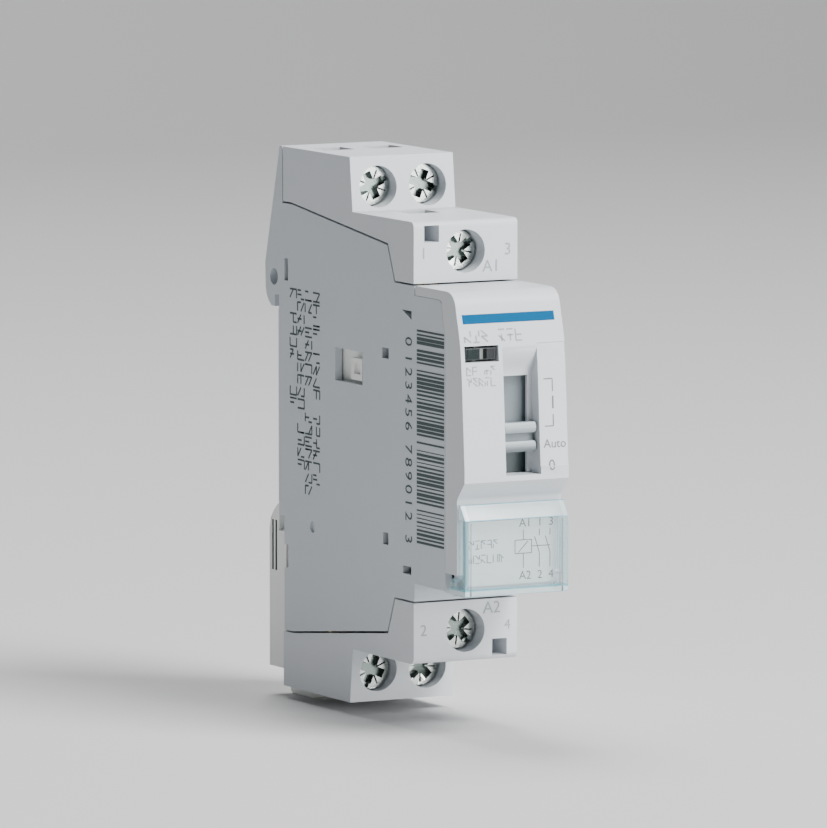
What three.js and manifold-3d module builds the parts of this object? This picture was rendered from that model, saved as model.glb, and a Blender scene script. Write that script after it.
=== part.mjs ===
// One-module contactor for a 35 mm top-hat rail, as separate pieces in millimetres.
//
// +X points right when the front is faced, +Z points up and the front faces -Y.
// The origin lies on the plane where the casing rests on the rail, on the rail's centreline.
// Most sizes are given as a depth, the distance in front of that plane, so y = -depth.
import * as THREE from 'three';
import { mergeVertices } from 'three/addons/utils/BufferGeometryUtils.js';
import Module from 'manifold-3d';

const wasm = await Module();
wasm.setup();

// ---------------------------------------------------------------- driving dimensions

// Casing envelope
const moduleWidth = 17.5; // one DIN module
const wall = 1.2;
const bodyHalfHeight = 41.3;
const shoulderDepth = 44; // front of the middle blocks, behind a panel cut-out
const middleHalfHeight = 33.1; // outer face of the middle blocks
const rearFrontOuter = 23.5; // front of the rear blocks, at their outer end
const rearFrontInner = 24.4; // the same where they meet the middle blocks
const seamOuter = 32.95; // where the cover's seam starts at the back
const seamInner = 29.31; // where it turns towards the shoulder
const seamStartDepth = 4.44;
const seamTurnDepth = 35.83;
const seamFootDepth = 38.1;
const seamFoot = 23.9; // inner edge of the middle blocks
const partGap = 0.3; // gap kept between pieces that touch
const coverBack = 1.6; // depth of a terminal cover's back edge

// Nose
const noseTop = 23.7;
const noseBottom = -20.9;
const noseFaceMost = 60; // the face is deepest just above the label
const noseFace = [[57.35, 20.7], [58.75, 15], [59.5, 5.1], [noseFaceMost, -2.4]]; // [depth, z]
const labelFace = 57.6; // flat wall behind the label card
const capSkirt = 54.2; // back edge of the front cap's sides
const capCavity = 56.5; // inside of the front cap's face

// Rail fixing
const railHalf = 17.5; // half of the 35 mm rail
const lipSlot = 1.2; // the rail's lip is 1 mm thick
const hookTip = 16.65;
const hookBack = -4.4;
const seatBottom = -15.2;
const seatLow = -13.2; // the seat itself lies between the clip's tip and the hook's
const seatHigh = 16.3;
const seatRelief = 0.15;
const backWall = 1.6; // inside of the back wall behind the rail
const lowerBackWall = 4.6; // inside of the thicker back wall that guides the clip
const clipBack = -4.3;
const clipFront = 1.2;
const clipGap = 0.7; // dark gap between the clip and the casing's back
const clipWidth = 16.4;
const grooveDepth = 1.5; // of the two grooves in each side of the clip
const grooveHalf = 0.3;
const clipBottom = -38.9;
const clipLedge = -17.75;
const clipTip = -13.5;
const clipTongueWidth = 11;
const clipFootFront = 6.6;
const clipFootHeight = 1.4;
const clipNeckWidth = 5;
const clipNeckTop = -24.6;
const clipNeckLength = 3.7;

// Terminals
const poleOffset = 4.2; // the power poles lie this far left and right of the middle
const rearTerminal = 36.7; // height of the power screws
const middleTerminal = 28.45; // height of the coil screws
const screwHead = 5.8;
const screwHeadDepth = 1.3;
const screwRecess = 2.6; // from the block's face to the screw's head
const screwShank = 3.5;
const screwLedge = 1.1; // the ledge that the head bears on
const screwLength = 8.9; // with its head
const crossWidth = 0.9;
const crossReach = 2.1;
const crossDepth = 0.9;
const boreRearPlay = 0.5; // a bore is this much wider than the head in it
const boreMiddlePlay = 0.7;
const shankPlay = 0.3;
const tongueWidth = 4;
const tongueThickness = 1;
const tongueBehindLedge = 6.5; // from the ledge's back to the tongue's front
const cageWall = 0.7;
const cagePlate = 1;
const cageLength = 5.8;
const wireSpace = 5; // room for the wire behind the tongue
const wireEntryWidth = 5.2;
const wireEntryDepth = 4.8;
const markPocket = 2.5; // square pocket in the front of a cover
const markPocketDepth = 4.4;
const pocketLeft = -7;
const pocketFoot = 30;
const ribHalf = 0.5; // half thickness of the rib between the two poles
const roomFoot = 20; // where a cover's rooms open towards the casing

// Magnet and coil
const coreStack = 6.4; // thickness of the laminations across the width
const coreHalfHeight = 15.5;
const coreBack = 30;
const coreYoke = 4;
const coreFront = 46;
const centreLeg = 7;
const outerLeg = 3;
const bobbinWall = 0.7;
const flange = 0.8;
const flangeHalfWidth = 6.1;
const windingHalfWidth = 5.9;
const armatureThickness = 3.5;
const travel = 3; // what the carrier moves when the coil pulls in
const magnetGapClosed = 0.6;
const pinRadius = 0.8;
const ringBar = 0.5;
const ringThickness = 0.9;
const ringInset = 1.4; // from a leg's inner face to the ring's bar in it

// Contacts and carrier
const contactTip = 9.3; // height of the contact tips
const tipRadius = 1.3;
const tipThickness = 0.6;
const contactGap = 3.2;
const contactEnd = 1.5; // how far a bar runs on past its tip
const bridgeWidth = 3;
const bridgeThickness = 1;
const armPlay = 0.25; // between the carrier's arms and the casing's walls
const armThickness = 0.9;
const armHalfHeight = 4.5;
const carrierFront = 27; // front of the carrier's contact block
const carrierHalfHeight = 5.2;
const carrierPlate = 1;
const springWire = 0.5;
const returnSpring = 2.7; // outer diameter
const tailAbove = 2.3; // from the return spring's axis to the coil terminal's tail
const springBay = 2.4; // from the core's end to the return spring's axis
const returnSpringSeat = 44;
const postHalf = 1.4; // half height of the post that carries a return spring
const postHalfWidth = 1.6;
const framePlay = 0.35; // round the frame's plate and the arms that pass it
const frameShelf = 3.6; // how far the frame's plate runs on above the upper spring's axis
const contactSpring = 2.6;
const contactSpringLength = 5.8;
const returnSpringTurns = 5;
const contactSpringTurns = 4;

// Selector, indicator and label window
const recessLeft = -1.8;
const recessRight = 4.1;
const recessBottom = -3.5;
const recessTop = 15.9; // upper end of the recess's ramp
const recessRampFoot = 11;
const recessFloor = 57.1;
const slotLeft = -1.2; // the slot in the recess's floor, narrower than the recess
const slotRight = 3.3;
const panelStep = 0.15; // the panel to the right of the recess lies this much lower
const slidePlateThickness = 1.1;
const slideUp = 6.2;
const slideDown = 3.1;
const knobTop = 4.2;
const knobBottom = -0.2;
const knobRidge = 1.6;
const knobFront = 59.3;
const knobGroove = 58.1;
const lensLeft = -8.1;
const lensRight = -2.4;
const lensBottom = 13.45;
const lensTop = 15.85;
const lensFront = 58.4;
const flagDepth = 56;
const flagLength = 2.6;
const flagThickness = 0.8;
const hingeDepth = 56.6;
const hingeHeight = -20;
const windowTop = -7.7;
const windowBottom = -21.2;
const windowInset = 0.05; // the window is this much narrower than the module on each side
const windowWall = 0.8;
const windowBevel = -9.9;
const earRadius = 1.35;
const earRoomTop = -18.2; // upper end of the notches that the window's ears turn in
const hingePin = 0.6;
const cardThickness = 0.25;

// Side window where an auxiliary contact takes its drive
const driveBack = 18.7;
const driveFront = 27.6;
const driveBottom = 7.2;
const driveTop = 12.2;
const lugBack = 23.4;
const lugFront = 26.9;
const lugBottom = 7.8;
const lugTop = 11.1;
const shieldThickness = 0.6; // plate on the carrier that closes the window behind the lug
const shieldOverlap = 0.7; // how far it reaches past the window's edges

// ---------------------------------------------------------------- worked-out sizes

const half = moduleWidth / 2;
const inner = half - wall;
const markDepth = wall + partGap; // the marks in the sides go right through the wall
const windowHalfWidth = half - windowInset;
const boreRear = screwHead + boreRearPlay;
const boreMiddle = screwHead + boreMiddlePlay;
const armOuter = inner - armPlay;
const returnSpringHeight = coreHalfHeight + springBay;
const coverWallTop = bodyHalfHeight - wall;
const ledgeRear = rearFrontInner - screwRecess - screwHeadDepth - partGap - screwLedge;
const ledgeMiddle = shoulderDepth - screwRecess - screwHeadDepth - partGap - screwLedge;
const tongueRear = ledgeRear - tongueBehindLedge;
const tongueMiddle = ledgeMiddle - tongueBehindLedge;
const fixedTipFace = tongueRear + tipThickness;
const bridgeBack = fixedTipFace + contactGap + tipThickness;
const carrierBack = bridgeBack - partGap - wall;
const armatureBack = coreFront + travel + magnetGapClosed;
const armatureFront = armatureBack + armatureThickness;
const plateBack = armatureFront + partGap;
const plateFront = plateBack + carrierPlate;
const bobbinBack = coreBack + coreYoke + partGap;
const bobbinFront = coreFront - 0.5;
const legInner = coreHalfHeight - outerLeg;
const flangeHalfHeight = legInner - partGap;
const framePlateFront = coreBack - partGap;
const framePlateBack = framePlateFront - wall;
const slideFront = capCavity - 0.5;
const slideBack = slideFront - slidePlateThickness;

// ---------------------------------------------------------------- shape helpers

function solid(geometry) {
  const bare = geometry.clone();
  bare.deleteAttribute('normal');
  bare.deleteAttribute('uv');
  const merged = mergeVertices(bare, 1e-4);
  const triVerts = new Uint32Array(merged.index.array);
  const vertProperties = merged.attributes.position.array;
  return new wasm.Manifold(new wasm.Mesh({ numProp: 3, vertProperties, triVerts }));
}

function join(...solids) {
  return solids.reduce((sum, next) => sum.add(next));
}

function cut(base, ...tools) {
  return tools.reduce((rest, tool) => rest.subtract(tool), base);
}

function geometryOf(shape) {
  const mesh = shape.getMesh();
  const geometry = new THREE.BufferGeometry();
  geometry.setAttribute('position', new THREE.BufferAttribute(mesh.vertProperties, 3));
  geometry.setIndex(new THREE.BufferAttribute(mesh.triVerts, 1));
  geometry.computeVertexNormals();
  return geometry;
}

// A box between two values of x, depth and z.
function block(x0, x1, d0, d1, z0, z1) {
  const box = new THREE.BoxGeometry(x1 - x0, d1 - d0, z1 - z0);
  return solid(box.translate((x0 + x1) / 2, -(d0 + d1) / 2, (z0 + z1) / 2));
}

// A box centred on x, for the many pieces that are as wide to the left as to the right.
function slab(halfWidth, d0, d1, z0, z1, x = 0) {
  return block(x - halfWidth, x + halfWidth, d0, d1, z0, z1);
}

// A side outline of [depth, z] points, extruded across the width.
const alongX = new THREE.Matrix4().set(0, 0, 1, 0, 1, 0, 0, 0, 0, 1, 0, 0, 0, 0, 0, 1);
function prism(outline, x0, x1) {
  const shape = new THREE.Shape(outline.map(([d, z]) => new THREE.Vector2(-d, z)));
  const geometry = new THREE.ExtrudeGeometry(shape, { depth: x1 - x0, bevelEnabled: false });
  return solid(geometry.applyMatrix4(alongX).translate(x0, 0, 0));
}

// Round bars along the depth, the width and the height.
function rodDeep(x, z, radius, d0, d1, sides = 32) {
  const bar = new THREE.CylinderGeometry(radius, radius, d1 - d0, sides);
  return solid(bar.translate(x, -(d0 + d1) / 2, z));
}

function rodWide(d, z, radius, x0, x1, sides = 24) {
  const bar = new THREE.CylinderGeometry(radius, radius, x1 - x0, sides).rotateZ(Math.PI / 2);
  return solid(bar.translate((x0 + x1) / 2, -d, z));
}

function rodTall(x, d, radius, z0, z1, sides = 16) {
  const bar = new THREE.CylinderGeometry(radius, radius, z1 - z0, sides).rotateX(Math.PI / 2);
  return solid(bar.translate(x, -d, (z0 + z1) / 2));
}

// Points of a curve through or towards [depth, z] points.
function bend(points, steps) {
  const [a, b, c] = points.map(([d, z]) => new THREE.Vector2(d, z));
  return new THREE.QuadraticBezierCurve(a, b, c).getPoints(steps).map((p) => [p.x, p.y]);
}

function flow(points, steps) {
  const curve = new THREE.SplineCurve(points.map(([d, z]) => new THREE.Vector2(d, z)));
  return curve.getPoints(steps).map((p) => [p.x, p.y]);
}

// A coil spring along the depth, as a round wire swept on a helix.
function spring(x, z, outer, d0, d1, turns) {
  const radius = (outer - springWire) / 2;
  const pitch = (d1 - d0 - springWire) / turns;
  const steps = turns * 10;
  const points = [];
  for (let i = 0; i <= steps; i += 1) {
    const angle = (i / steps) * turns * 2 * Math.PI;
    const depth = d0 + springWire / 2 + (i / steps) * turns * pitch;
    points.push(new THREE.Vector3(x + radius * Math.cos(angle), -depth, z + radius * Math.sin(angle)));
  }
  const wire = new THREE.Shape();
  wire.absarc(0, 0, springWire / 2, 0, 2 * Math.PI);
  const path = new THREE.CatmullRomCurve3(points);
  const shape = { steps, curveSegments: 3, bevelEnabled: false, extrudePath: path };
  return new THREE.ExtrudeGeometry(wire, shape);
}

// ---------------------------------------------------------------- casing

// The seam between casing and cover, moved by a gap towards the casing.
function seamLine(gap) {
  return [
    [coverBack - gap, seamOuter - gap],
    [seamStartDepth, seamOuter - gap],
    [seamTurnDepth - gap, seamInner - gap],
    [seamFootDepth - gap, seamFoot - gap],
  ];
}

function casingOutline() {
  const upper = seamLine(partGap);
  const lower = seamLine(partGap).slice(1).reverse().map(([d, z]) => [d, -z]);
  const lowerBack = clipFront + clipGap;
  return [
    [0.45, bodyHalfHeight],
    [coverBack - partGap, bodyHalfHeight],
    ...upper,
    [shoulderDepth + 0.2, seamFoot - partGap],
    [shoulderDepth + 0.2, noseTop - wall - partGap],
    [52, noseTop - wall - partGap],
    [52.7, 21.8],
    [53.2, 19.1],
    [capSkirt - partGap, 17],
    [capSkirt - partGap, noseBottom],
    [shoulderDepth + 0.2, noseBottom],
    [shoulderDepth + 0.2, -(seamFoot - partGap)],
    ...lower,
    [lowerBack, -(seamOuter - partGap)],
    [lowerBack, -23.1],
    [3.2, -23.1],
    [3.2, -19.5],
    [1.9, -19.5],
    [1.9, seatBottom],
    [seatRelief, seatBottom],
    [seatRelief, seatLow],
    [0, seatLow],
    [0, seatHigh],
    [seatRelief, seatHigh],
    [seatRelief, railHalf + 1],
    [-lipSlot, railHalf + 1],
    [-lipSlot, hookTip],
    [-1.75, hookTip],
    ...bend([[-2.3, hookTip], [-4.1, 17.7], [-4.25, 19.4]], 4),
    [hookBack, 23.2],
    [-1.7, 33.2],
  ];
}

// The values of x from just outside a side to a depth below its face.
function fromSide(side, depth) {
  return side < 0 ? [-half - 1, -half + depth] : [half - depth, half + 1];
}

// Marks moulded into both sides: slots through the wall, a round hole and a shallow dimple.
function sideMarks(side) {
  const [x0, x1] = fromSide(side, markDepth);
  return [
    block(x0, x1, 2, 3.2, 20.9, 24.3),
    block(x0, x1, 33.9, 36, 12, 13.6),
    block(x0, x1, 34.2, 35.9, -16, -14.2),
    block(x0, x1, 40.5, 43.2, -19.7, -18.5),
    prism([[40.2, 19.8], [43.3, 18.5], [43.3, 19.8]], x0, x1),
    rodWide(-1.5, 21.2, 1.3, ...fromSide(side, 1.6)),
    rodWide(11.2, -15.9, 0.9, ...fromSide(side, 0.4)),
  ];
}

function casing() {
  const body = prism(casingOutline(), -half, half);
  const chamber = slab(inner, backWall, capSkirt + 1, -14, bodyHalfHeight + 1);
  const lowerChamber = slab(inner, lowerBackWall, capSkirt + 1, -bodyHalfHeight, -14);
  const shell = cut(body, chamber, lowerChamber);
  const skirt = capSkirt - partGap;
  const noseFloor = slab(inner + 0.2, seamFootDepth - partGap, skirt, noseBottom, noseBottom + wall);
  const hingeRest = slab(6.5, 49.5, skirt, noseBottom - 0.8, noseBottom + 0.2);
  // Sills close the front between the nose and the middle blocks.
  const sillFront = shoulderDepth + 0.2;
  const sillBack = sillFront - wall;
  const sill = slab(inner + 0.2, sillBack, sillFront, -(seamFoot - partGap), noseBottom + 0.2);
  const upperSill = slab(inner + 0.2, sillBack, sillFront, noseTop - wall - partGap, seamFoot - partGap);
  const rib = slab(ribHalf, backWall - 0.2, tongueRear - 1.5, -23.5, 29);
  const lowRib = slab(ribHalf, 3, tongueRear - 1.5, -23.5, -13);
  const rests = [];
  for (const x of [-poleOffset, poleOffset]) {
    for (const z of [-13, 13]) {
      rests.push(slab(1.6, backWall - 0.2, tongueRear - tongueThickness - partGap, z - 1, z + 1, x));
    }
  }
  const clipSlot = slab(
    clipNeckWidth / 2 + partGap, 0, lowerBackWall + 1, -bodyHalfHeight, clipNeckTop + partGap + 0.1,
  );
  const driveWindow = block(-half - 1, -inner + 1, driveBack, driveFront, driveBottom, driveTop);
  return cut(
    join(shell, noseFloor, hingeRest, sill, upperSill, rib, lowRib, ...rests),
    clipSlot,
    driveWindow,
    ...sideMarks(-1),
    ...sideMarks(1),
  );
}

// ---------------------------------------------------------------- terminal covers

function coverOutline() {
  const round = 1;
  return [
    [coverBack, bodyHalfHeight],
    [rearFrontOuter, bodyHalfHeight],
    [rearFrontInner, middleHalfHeight],
    [shoulderDepth - round, middleHalfHeight],
    ...bend(
      [
        [shoulderDepth - round, middleHalfHeight],
        [shoulderDepth, middleHalfHeight],
        [shoulderDepth, middleHalfHeight - round],
      ],
      5,
    ).slice(1),
    [shoulderDepth, seamFoot],
    ...seamLine(0).reverse(),
  ];
}

// The bore over a screw's head, and the smaller one for its shank.
function screwBores(x, z, face, bore, ledge) {
  const shankBore = screwShank / 2 + shankPlay;
  return [
    rodDeep(x, z, bore / 2, ledge + screwLedge, face + 1, 40),
    rodDeep(x, z, shankBore, ledge - 1, ledge + screwLedge + 1, 24),
  ];
}

function wireEntry(x, tongueFace, top) {
  const front = tongueFace - tongueThickness - 0.1;
  return slab(wireEntryWidth / 2, front - wireEntryDepth, front, top - wall - 1, top + 1, x);
}

function terminalCover() {
  const body = prism(coverOutline(), -half, half);
  const rearRoomRight = block(ribHalf, inner, coverBack + wall, ledgeRear, roomFoot, coverWallTop);
  const rearRoomLeft = block(-inner, -ribHalf, coverBack + wall, ledgeRear, roomFoot, coverWallTop);
  const middleRoom = slab(inner, ledgeRear - 0.2, ledgeMiddle, roomFoot, middleHalfHeight - wall);
  const pocket = block(
    pocketLeft, pocketLeft + markPocket, shoulderDepth - markPocketDepth, shoulderDepth + 1,
    pocketFoot, pocketFoot + markPocket,
  );
  return cut(
    body,
    rearRoomRight,
    rearRoomLeft,
    middleRoom,
    pocket,
    ...screwBores(-poleOffset, rearTerminal, rearFrontInner, boreRear, ledgeRear),
    ...screwBores(poleOffset, rearTerminal, rearFrontInner, boreRear, ledgeRear),
    ...screwBores(0, middleTerminal, shoulderDepth, boreMiddle, ledgeMiddle),
    wireEntry(-poleOffset, tongueRear, bodyHalfHeight),
    wireEntry(poleOffset, tongueRear, bodyHalfHeight),
    wireEntry(0, tongueMiddle, middleHalfHeight),
  );
}

// ---------------------------------------------------------------- front cap

function noseOutline() {
  const roundStart = [54.2, noseTop];
  const roundEnd = noseFace[0];
  const face = flow(noseFace, 10);
  return [
    [shoulderDepth + 0.5, noseTop],
    ...bend([roundStart, [57, noseTop], roundEnd], 6),
    ...face.slice(1),
    [noseFaceMost, -4.3],
    [labelFace + 0.3, -6.6],
    [labelFace, -7.3],
    [labelFace, noseBottom],
    [capSkirt, noseBottom],
    [capSkirt, 17],
    [53.5, 19.1],
    [53, 22],
    [52.2, noseTop - wall],
    [shoulderDepth + 0.5, noseTop - wall],
  ];
}

function frontCap() {
  const body = prism(noseOutline(), -half, half);
  const room = prism(
    [
      [shoulderDepth, noseTop - wall - 0.1],
      [54.2, noseTop - wall - 0.1],
      [capCavity - 0.3, 20.9],
      [capCavity, 19.5],
      [capCavity, noseBottom + wall],
      [shoulderDepth, noseBottom + wall],
    ],
    -inner,
    inner,
  );
  const ramp = flow([[58.75, recessTop], [58.2, 13.9], [57.4, 12.2], [recessFloor, recessRampFoot]], 8);
  const recess = prism(
    [
      [noseFaceMost + 1, recessTop + 0.3],
      ...ramp,
      [recessFloor, recessBottom],
      [noseFaceMost + 1, recessBottom],
    ],
    recessLeft,
    recessRight,
  );
  const slot = block(slotLeft, slotRight, capCavity - 1, recessFloor + 0.5, recessBottom, recessRampFoot);
  const lowered = flow(noseFace, 10).map(([d, z]) => [d - panelStep, z]).filter(([, z]) => z < recessTop);
  const panel = prism(
    [
      [noseFaceMost + 1, recessTop],
      [lowered[0][0], recessTop],
      ...lowered,
      [noseFaceMost + 1, noseFace[3][1]],
    ],
    recessRight - 0.1,
    half + 1,
  );
  const lensHole = block(lensLeft, lensRight, capCavity - 1, noseFaceMost, lensBottom, lensTop);
  const earCuts = [-1, 1].map((side) => {
    const x0 = side < 0 ? -half - 1 : inner - 0.1;
    const x1 = side < 0 ? -inner + 0.1 : half + 1;
    return block(x0, x1, capSkirt - 1, noseFaceMost, noseBottom - 1, earRoomTop);
  });
  const hingeBlocks = [-1, 1].map((side) => {
    const x = side * (inner - 0.75);
    return slab(0.65, 54.4, labelFace - 0.2, noseBottom + 0.1, earRoomTop + 0.1, x);
  });
  const hingeHole = rodWide(hingeDepth, hingeHeight, hingePin + partGap, -half - 1, half + 1, 16);
  const flagX = (lensLeft + lensRight) / 2;
  const flagMounts = [lensBottom - 0.65, lensTop + 0.65].map((z) => (
    slab(1, 55, capCavity + 0.2, z - 0.4, z + 0.4, flagX)
  ));
  const axleHole = flagThickness / 2 + partGap;
  const flagHole = rodTall(flagX, flagDepth, axleHole, lensBottom - 2, lensTop + 2);
  const shell = cut(body, room, recess, slot, panel, ...earCuts);
  return cut(join(shell, ...hingeBlocks, ...flagMounts), lensHole, hingeHole, flagHole);
}

// ---------------------------------------------------------------- rail clip

function railClip() {
  const body = prism(
    [
      [-lipSlot + 0.1, clipLedge],
      [-lipSlot + 0.1, clipTip],
      ...bend([[-1.4, clipTip - 0.1], [-3.6, clipTip - 1.4], [clipBack, -17.5]], 5),
      [clipBack, clipBottom],
      [clipFront, clipBottom],
      [clipFront, clipLedge],
    ],
    -clipWidth / 2,
    clipWidth / 2,
  );
  const footTop = -bodyHalfHeight - 0.45;
  const tongue = prism(
    [
      [clipFront, clipBottom + 1],
      [-2.5, clipBottom + 1],
      [-2.5, footTop - clipFootHeight + 0.4],
      [-1.8, footTop - clipFootHeight],
      [clipFootFront - 2, footTop - clipFootHeight],
      [clipFootFront, footTop - 0.3],
      [clipFootFront, footTop],
      [clipFront, footTop],
    ],
    -clipTongueWidth / 2,
    clipTongueWidth / 2,
  );
  const neckBottom = clipNeckTop - clipNeckLength;
  const neck = slab(clipNeckWidth / 2, clipFront - 0.5, lowerBackWall + 0.6, neckBottom, clipNeckTop);
  const head = slab(clipNeckWidth / 2 + 1.6, lowerBackWall + 0.3, lowerBackWall + 1.2, neckBottom, clipNeckTop);
  const grooves = [];
  for (const x of [-clipWidth / 2, clipWidth / 2]) {
    for (const d of [-3.2, -2.1]) {
      grooves.push(slab(grooveDepth, d - grooveHalf, d + grooveHalf, -24, -16.3, x));
    }
  }
  const pocket = slab(5, clipBack - 1, clipBack + 1.6, -35, -26);
  return cut(join(body, tongue, neck, head), ...grooves, pocket);
}

// ---------------------------------------------------------------- label window and card

function labelWindow() {
  const back = labelFace + 0.4;
  const shell = prism(
    [
      [back, windowTop],
      [back + 0.4, windowTop],
      [noseFaceMost, windowBevel],
      [noseFaceMost, windowBottom],
      [back, windowBottom],
    ],
    -windowHalfWidth,
    windowHalfWidth,
  );
  const room = prism(
    [
      [back - 1, windowTop - windowWall],
      [back + 0.1, windowTop - windowWall],
      [noseFaceMost - windowWall, windowBevel - 0.2],
      [noseFaceMost - windowWall, windowBottom + windowWall],
      [back - 1, windowBottom + windowWall],
    ],
    -windowHalfWidth + windowWall,
    windowHalfWidth - windowWall,
  );
  const ears = [];
  for (const side of [-1, 1]) {
    const outer = side * windowHalfWidth;
    const innerX = side * (windowHalfWidth - windowWall);
    const x0 = Math.min(outer, innerX);
    const x1 = Math.max(outer, innerX);
    ears.push(rodWide(hingeDepth, hingeHeight, earRadius, x0, x1));
    ears.push(block(x0, x1, hingeDepth, back + 0.5, windowBottom, hingeHeight + earRadius - 0.1));
    const pinEnd = side * (inner - 1.1);
    const [pin0, pin1] = [Math.min(pinEnd, outer), Math.max(pinEnd, outer)];
    ears.push(rodWide(hingeDepth, hingeHeight, hingePin, pin0, pin1, 16));
  }
  return join(cut(shell, room), ...ears);
}

function labelCard() {
  const back = labelFace + partGap;
  const edge = windowWall + 0.5;
  return slab(
    windowHalfWidth - edge, back, back + cardThickness, windowBottom + edge, windowTop - edge,
  );
}

// ---------------------------------------------------------------- selector and indicator

function selectorSlide() {
  const side = 1;
  const play = 0.35;
  const knobFoot = recessFloor + partGap;
  const plate = block(
    slotLeft - side, slotRight + side, slideBack, slideFront,
    recessBottom - slideUp - play, recessRampFoot + slideDown + play,
  );
  const x0 = recessLeft + partGap;
  const x1 = recessRight - partGap;
  const ridge = (z0, z1) => {
    const mid = (z0 + z1) / 2;
    const outline = [
      [knobFoot, z0],
      [knobFront - 0.5, z0],
      ...bend([[knobFront - 0.5, z0], [knobFront + 0.2, mid], [knobFront - 0.5, z1]], 5).slice(1),
      [knobFoot, z1],
    ];
    return prism(outline, x0, x1);
  };
  const base = block(x0, x1, knobFoot, knobGroove, knobBottom + 0.5, knobTop - 0.5);
  const neck = block(
    slotLeft + partGap, slotRight - partGap, slideFront - 0.2, knobFoot + 0.2, knobBottom + 0.5, knobTop - 0.5,
  );
  const upperRidge = ridge(knobTop - knobRidge, knobTop);
  const lowerRidge = ridge(knobBottom, knobBottom + knobRidge);
  return join(plate, neck, base, upperRidge, lowerRidge);
}

function indicatorLens() {
  return block(
    lensLeft + partGap, lensRight - partGap, lensFront - 1, lensFront,
    lensBottom + partGap, lensTop - partGap,
  );
}

function indicatorFlag() {
  const x = (lensLeft + lensRight) / 2;
  const paddle = slab(
    flagThickness / 2, flagDepth - flagLength / 2, flagDepth + flagLength / 2,
    lensBottom + partGap, lensTop - partGap, x,
  );
  const axle = rodTall(x, flagDepth, flagThickness / 2, lensBottom - 1.2, lensTop + 1.2);
  return join(paddle, axle);
}

// ---------------------------------------------------------------- contact frame and carrier

function contactFrame() {
  const foot = -returnSpringHeight - postHalf;
  const shelf = returnSpringHeight + frameShelf;
  const plate = slab(inner - framePlay, framePlateBack, framePlateFront, foot, shelf);
  const armSlots = [-1, 1].map((side) => {
    const x0 = side < 0 ? -inner - 1 : armOuter - armThickness - partGap;
    const x1 = side < 0 ? -armOuter + armThickness + partGap : inner + 1;
    const reach = armHalfHeight + framePlay;
    return block(x0, x1, framePlateBack - 1, framePlateFront + 1, -reach, reach);
  });
  const posts = [-1, 1].map((side) => {
    const z = side * returnSpringHeight;
    return slab(postHalfWidth, framePlateFront - 0.2, returnSpringSeat, z - postHalf, z + postHalf);
  });
  return join(cut(plate, ...armSlots), ...posts);
}

function contactCarrier() {
  const body = slab(armOuter, carrierBack, carrierFront, -carrierHalfHeight, carrierHalfHeight);
  const slots = [-poleOffset, poleOffset].map((x) => slab(
    bridgeWidth / 2 + partGap, carrierBack + wall, carrierFront - 3,
    -carrierHalfHeight - 1, carrierHalfHeight + 1, x,
  ));
  const arms = [-1, 1].map((side) => {
    const x = side * (armOuter - armThickness / 2);
    return slab(armThickness / 2, carrierFront - 1, plateFront, -armHalfHeight, armHalfHeight, x);
  });
  const plate = slab(armOuter, plateBack, plateFront, -armHalfHeight, armHalfHeight);
  const reach = slab(2, plateBack, plateFront, noseBottom + wall + 0.4, -noseBottom - wall - 0.4);
  const lugArm = block(-armOuter, -armOuter + 1.2, lugBack, lugFront, carrierHalfHeight - 0.5, lugTop);
  const shield = block(
    -armOuter, -armOuter + shieldThickness, driveBack - shieldOverlap, framePlateBack - partGap,
    carrierHalfHeight - 0.5, driveTop + shieldOverlap,
  );
  const lug = block(-half + 0.25, -armOuter + 0.5, lugBack, lugFront, lugBottom, lugTop);
  const lugPocket = block(-half, -half + 0.75, lugBack + 0.9, lugFront - 0.5, lugBottom + 0.9, lugTop - 0.5);
  const pinDepth = (armatureBack + armatureFront) / 2;
  const pinHole = rodWide(pinDepth, 0, pinRadius + partGap, -half, half, 16);
  const moving = join(cut(body, ...slots), ...arms, plate, reach, lugArm, shield, lug);
  return cut(moving, pinHole, lugPocket);
}

function movingContact(x) {
  const end = contactTip + contactEnd;
  const bar = slab(bridgeWidth / 2, bridgeBack, bridgeBack + bridgeThickness, -end, end, x);
  const tips = [-contactTip, contactTip].map((z) => (
    rodDeep(x, z, tipRadius, bridgeBack - tipThickness, bridgeBack + 0.2, 20)
  ));
  return join(bar, ...tips);
}

// A power bar from the terminal down to the contact tip, for a pole and an end.
function fixedContact(x) {
  const bar = slab(
    tongueWidth / 2, tongueRear - tongueThickness, tongueRear,
    contactTip - contactEnd, coverWallTop - 0.5, x,
  );
  return join(bar, rodDeep(x, contactTip, tipRadius, tongueRear - 0.2, fixedTipFace, 20));
}

// ---------------------------------------------------------------- magnet and coil

function magnetCore() {
  const yoke = slab(coreStack / 2, coreBack, coreBack + coreYoke, -coreHalfHeight, coreHalfHeight);
  const middle = slab(coreStack / 2, coreBack + 1, coreFront, -centreLeg / 2, centreLeg / 2);
  const legs = [];
  const slits = [];
  for (const side of [-1, 1]) {
    const z0 = Math.min(side * legInner, side * coreHalfHeight);
    const z1 = Math.max(side * legInner, side * coreHalfHeight);
    legs.push(slab(coreStack / 2, coreBack + 1, coreFront, z0, z1));
    const slit = side * (legInner + ringInset);
    const room = ringBar / 2 + partGap;
    slits.push(slab(coreStack, coreFront - 1.7, coreFront + 1, slit - room, slit + room));
  }
  return cut(join(yoke, middle, ...legs), ...slits);
}

// The copper loop let into half of an outer leg, which keeps the magnet from humming.
function shadingRing() {
  const innerBar = legInner + ringInset;
  const outerBar = coreHalfHeight + partGap + ringBar / 2;
  const depth = coreFront - 1.3;
  const side = coreStack / 2 + partGap;
  const edge = ringBar / 2;
  const outerLoop = slab(side + ringBar, depth, depth + ringThickness, innerBar - edge, outerBar + edge);
  return cut(outerLoop, slab(side, depth - 1, depth + 2, innerBar + edge, outerBar - edge));
}

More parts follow.
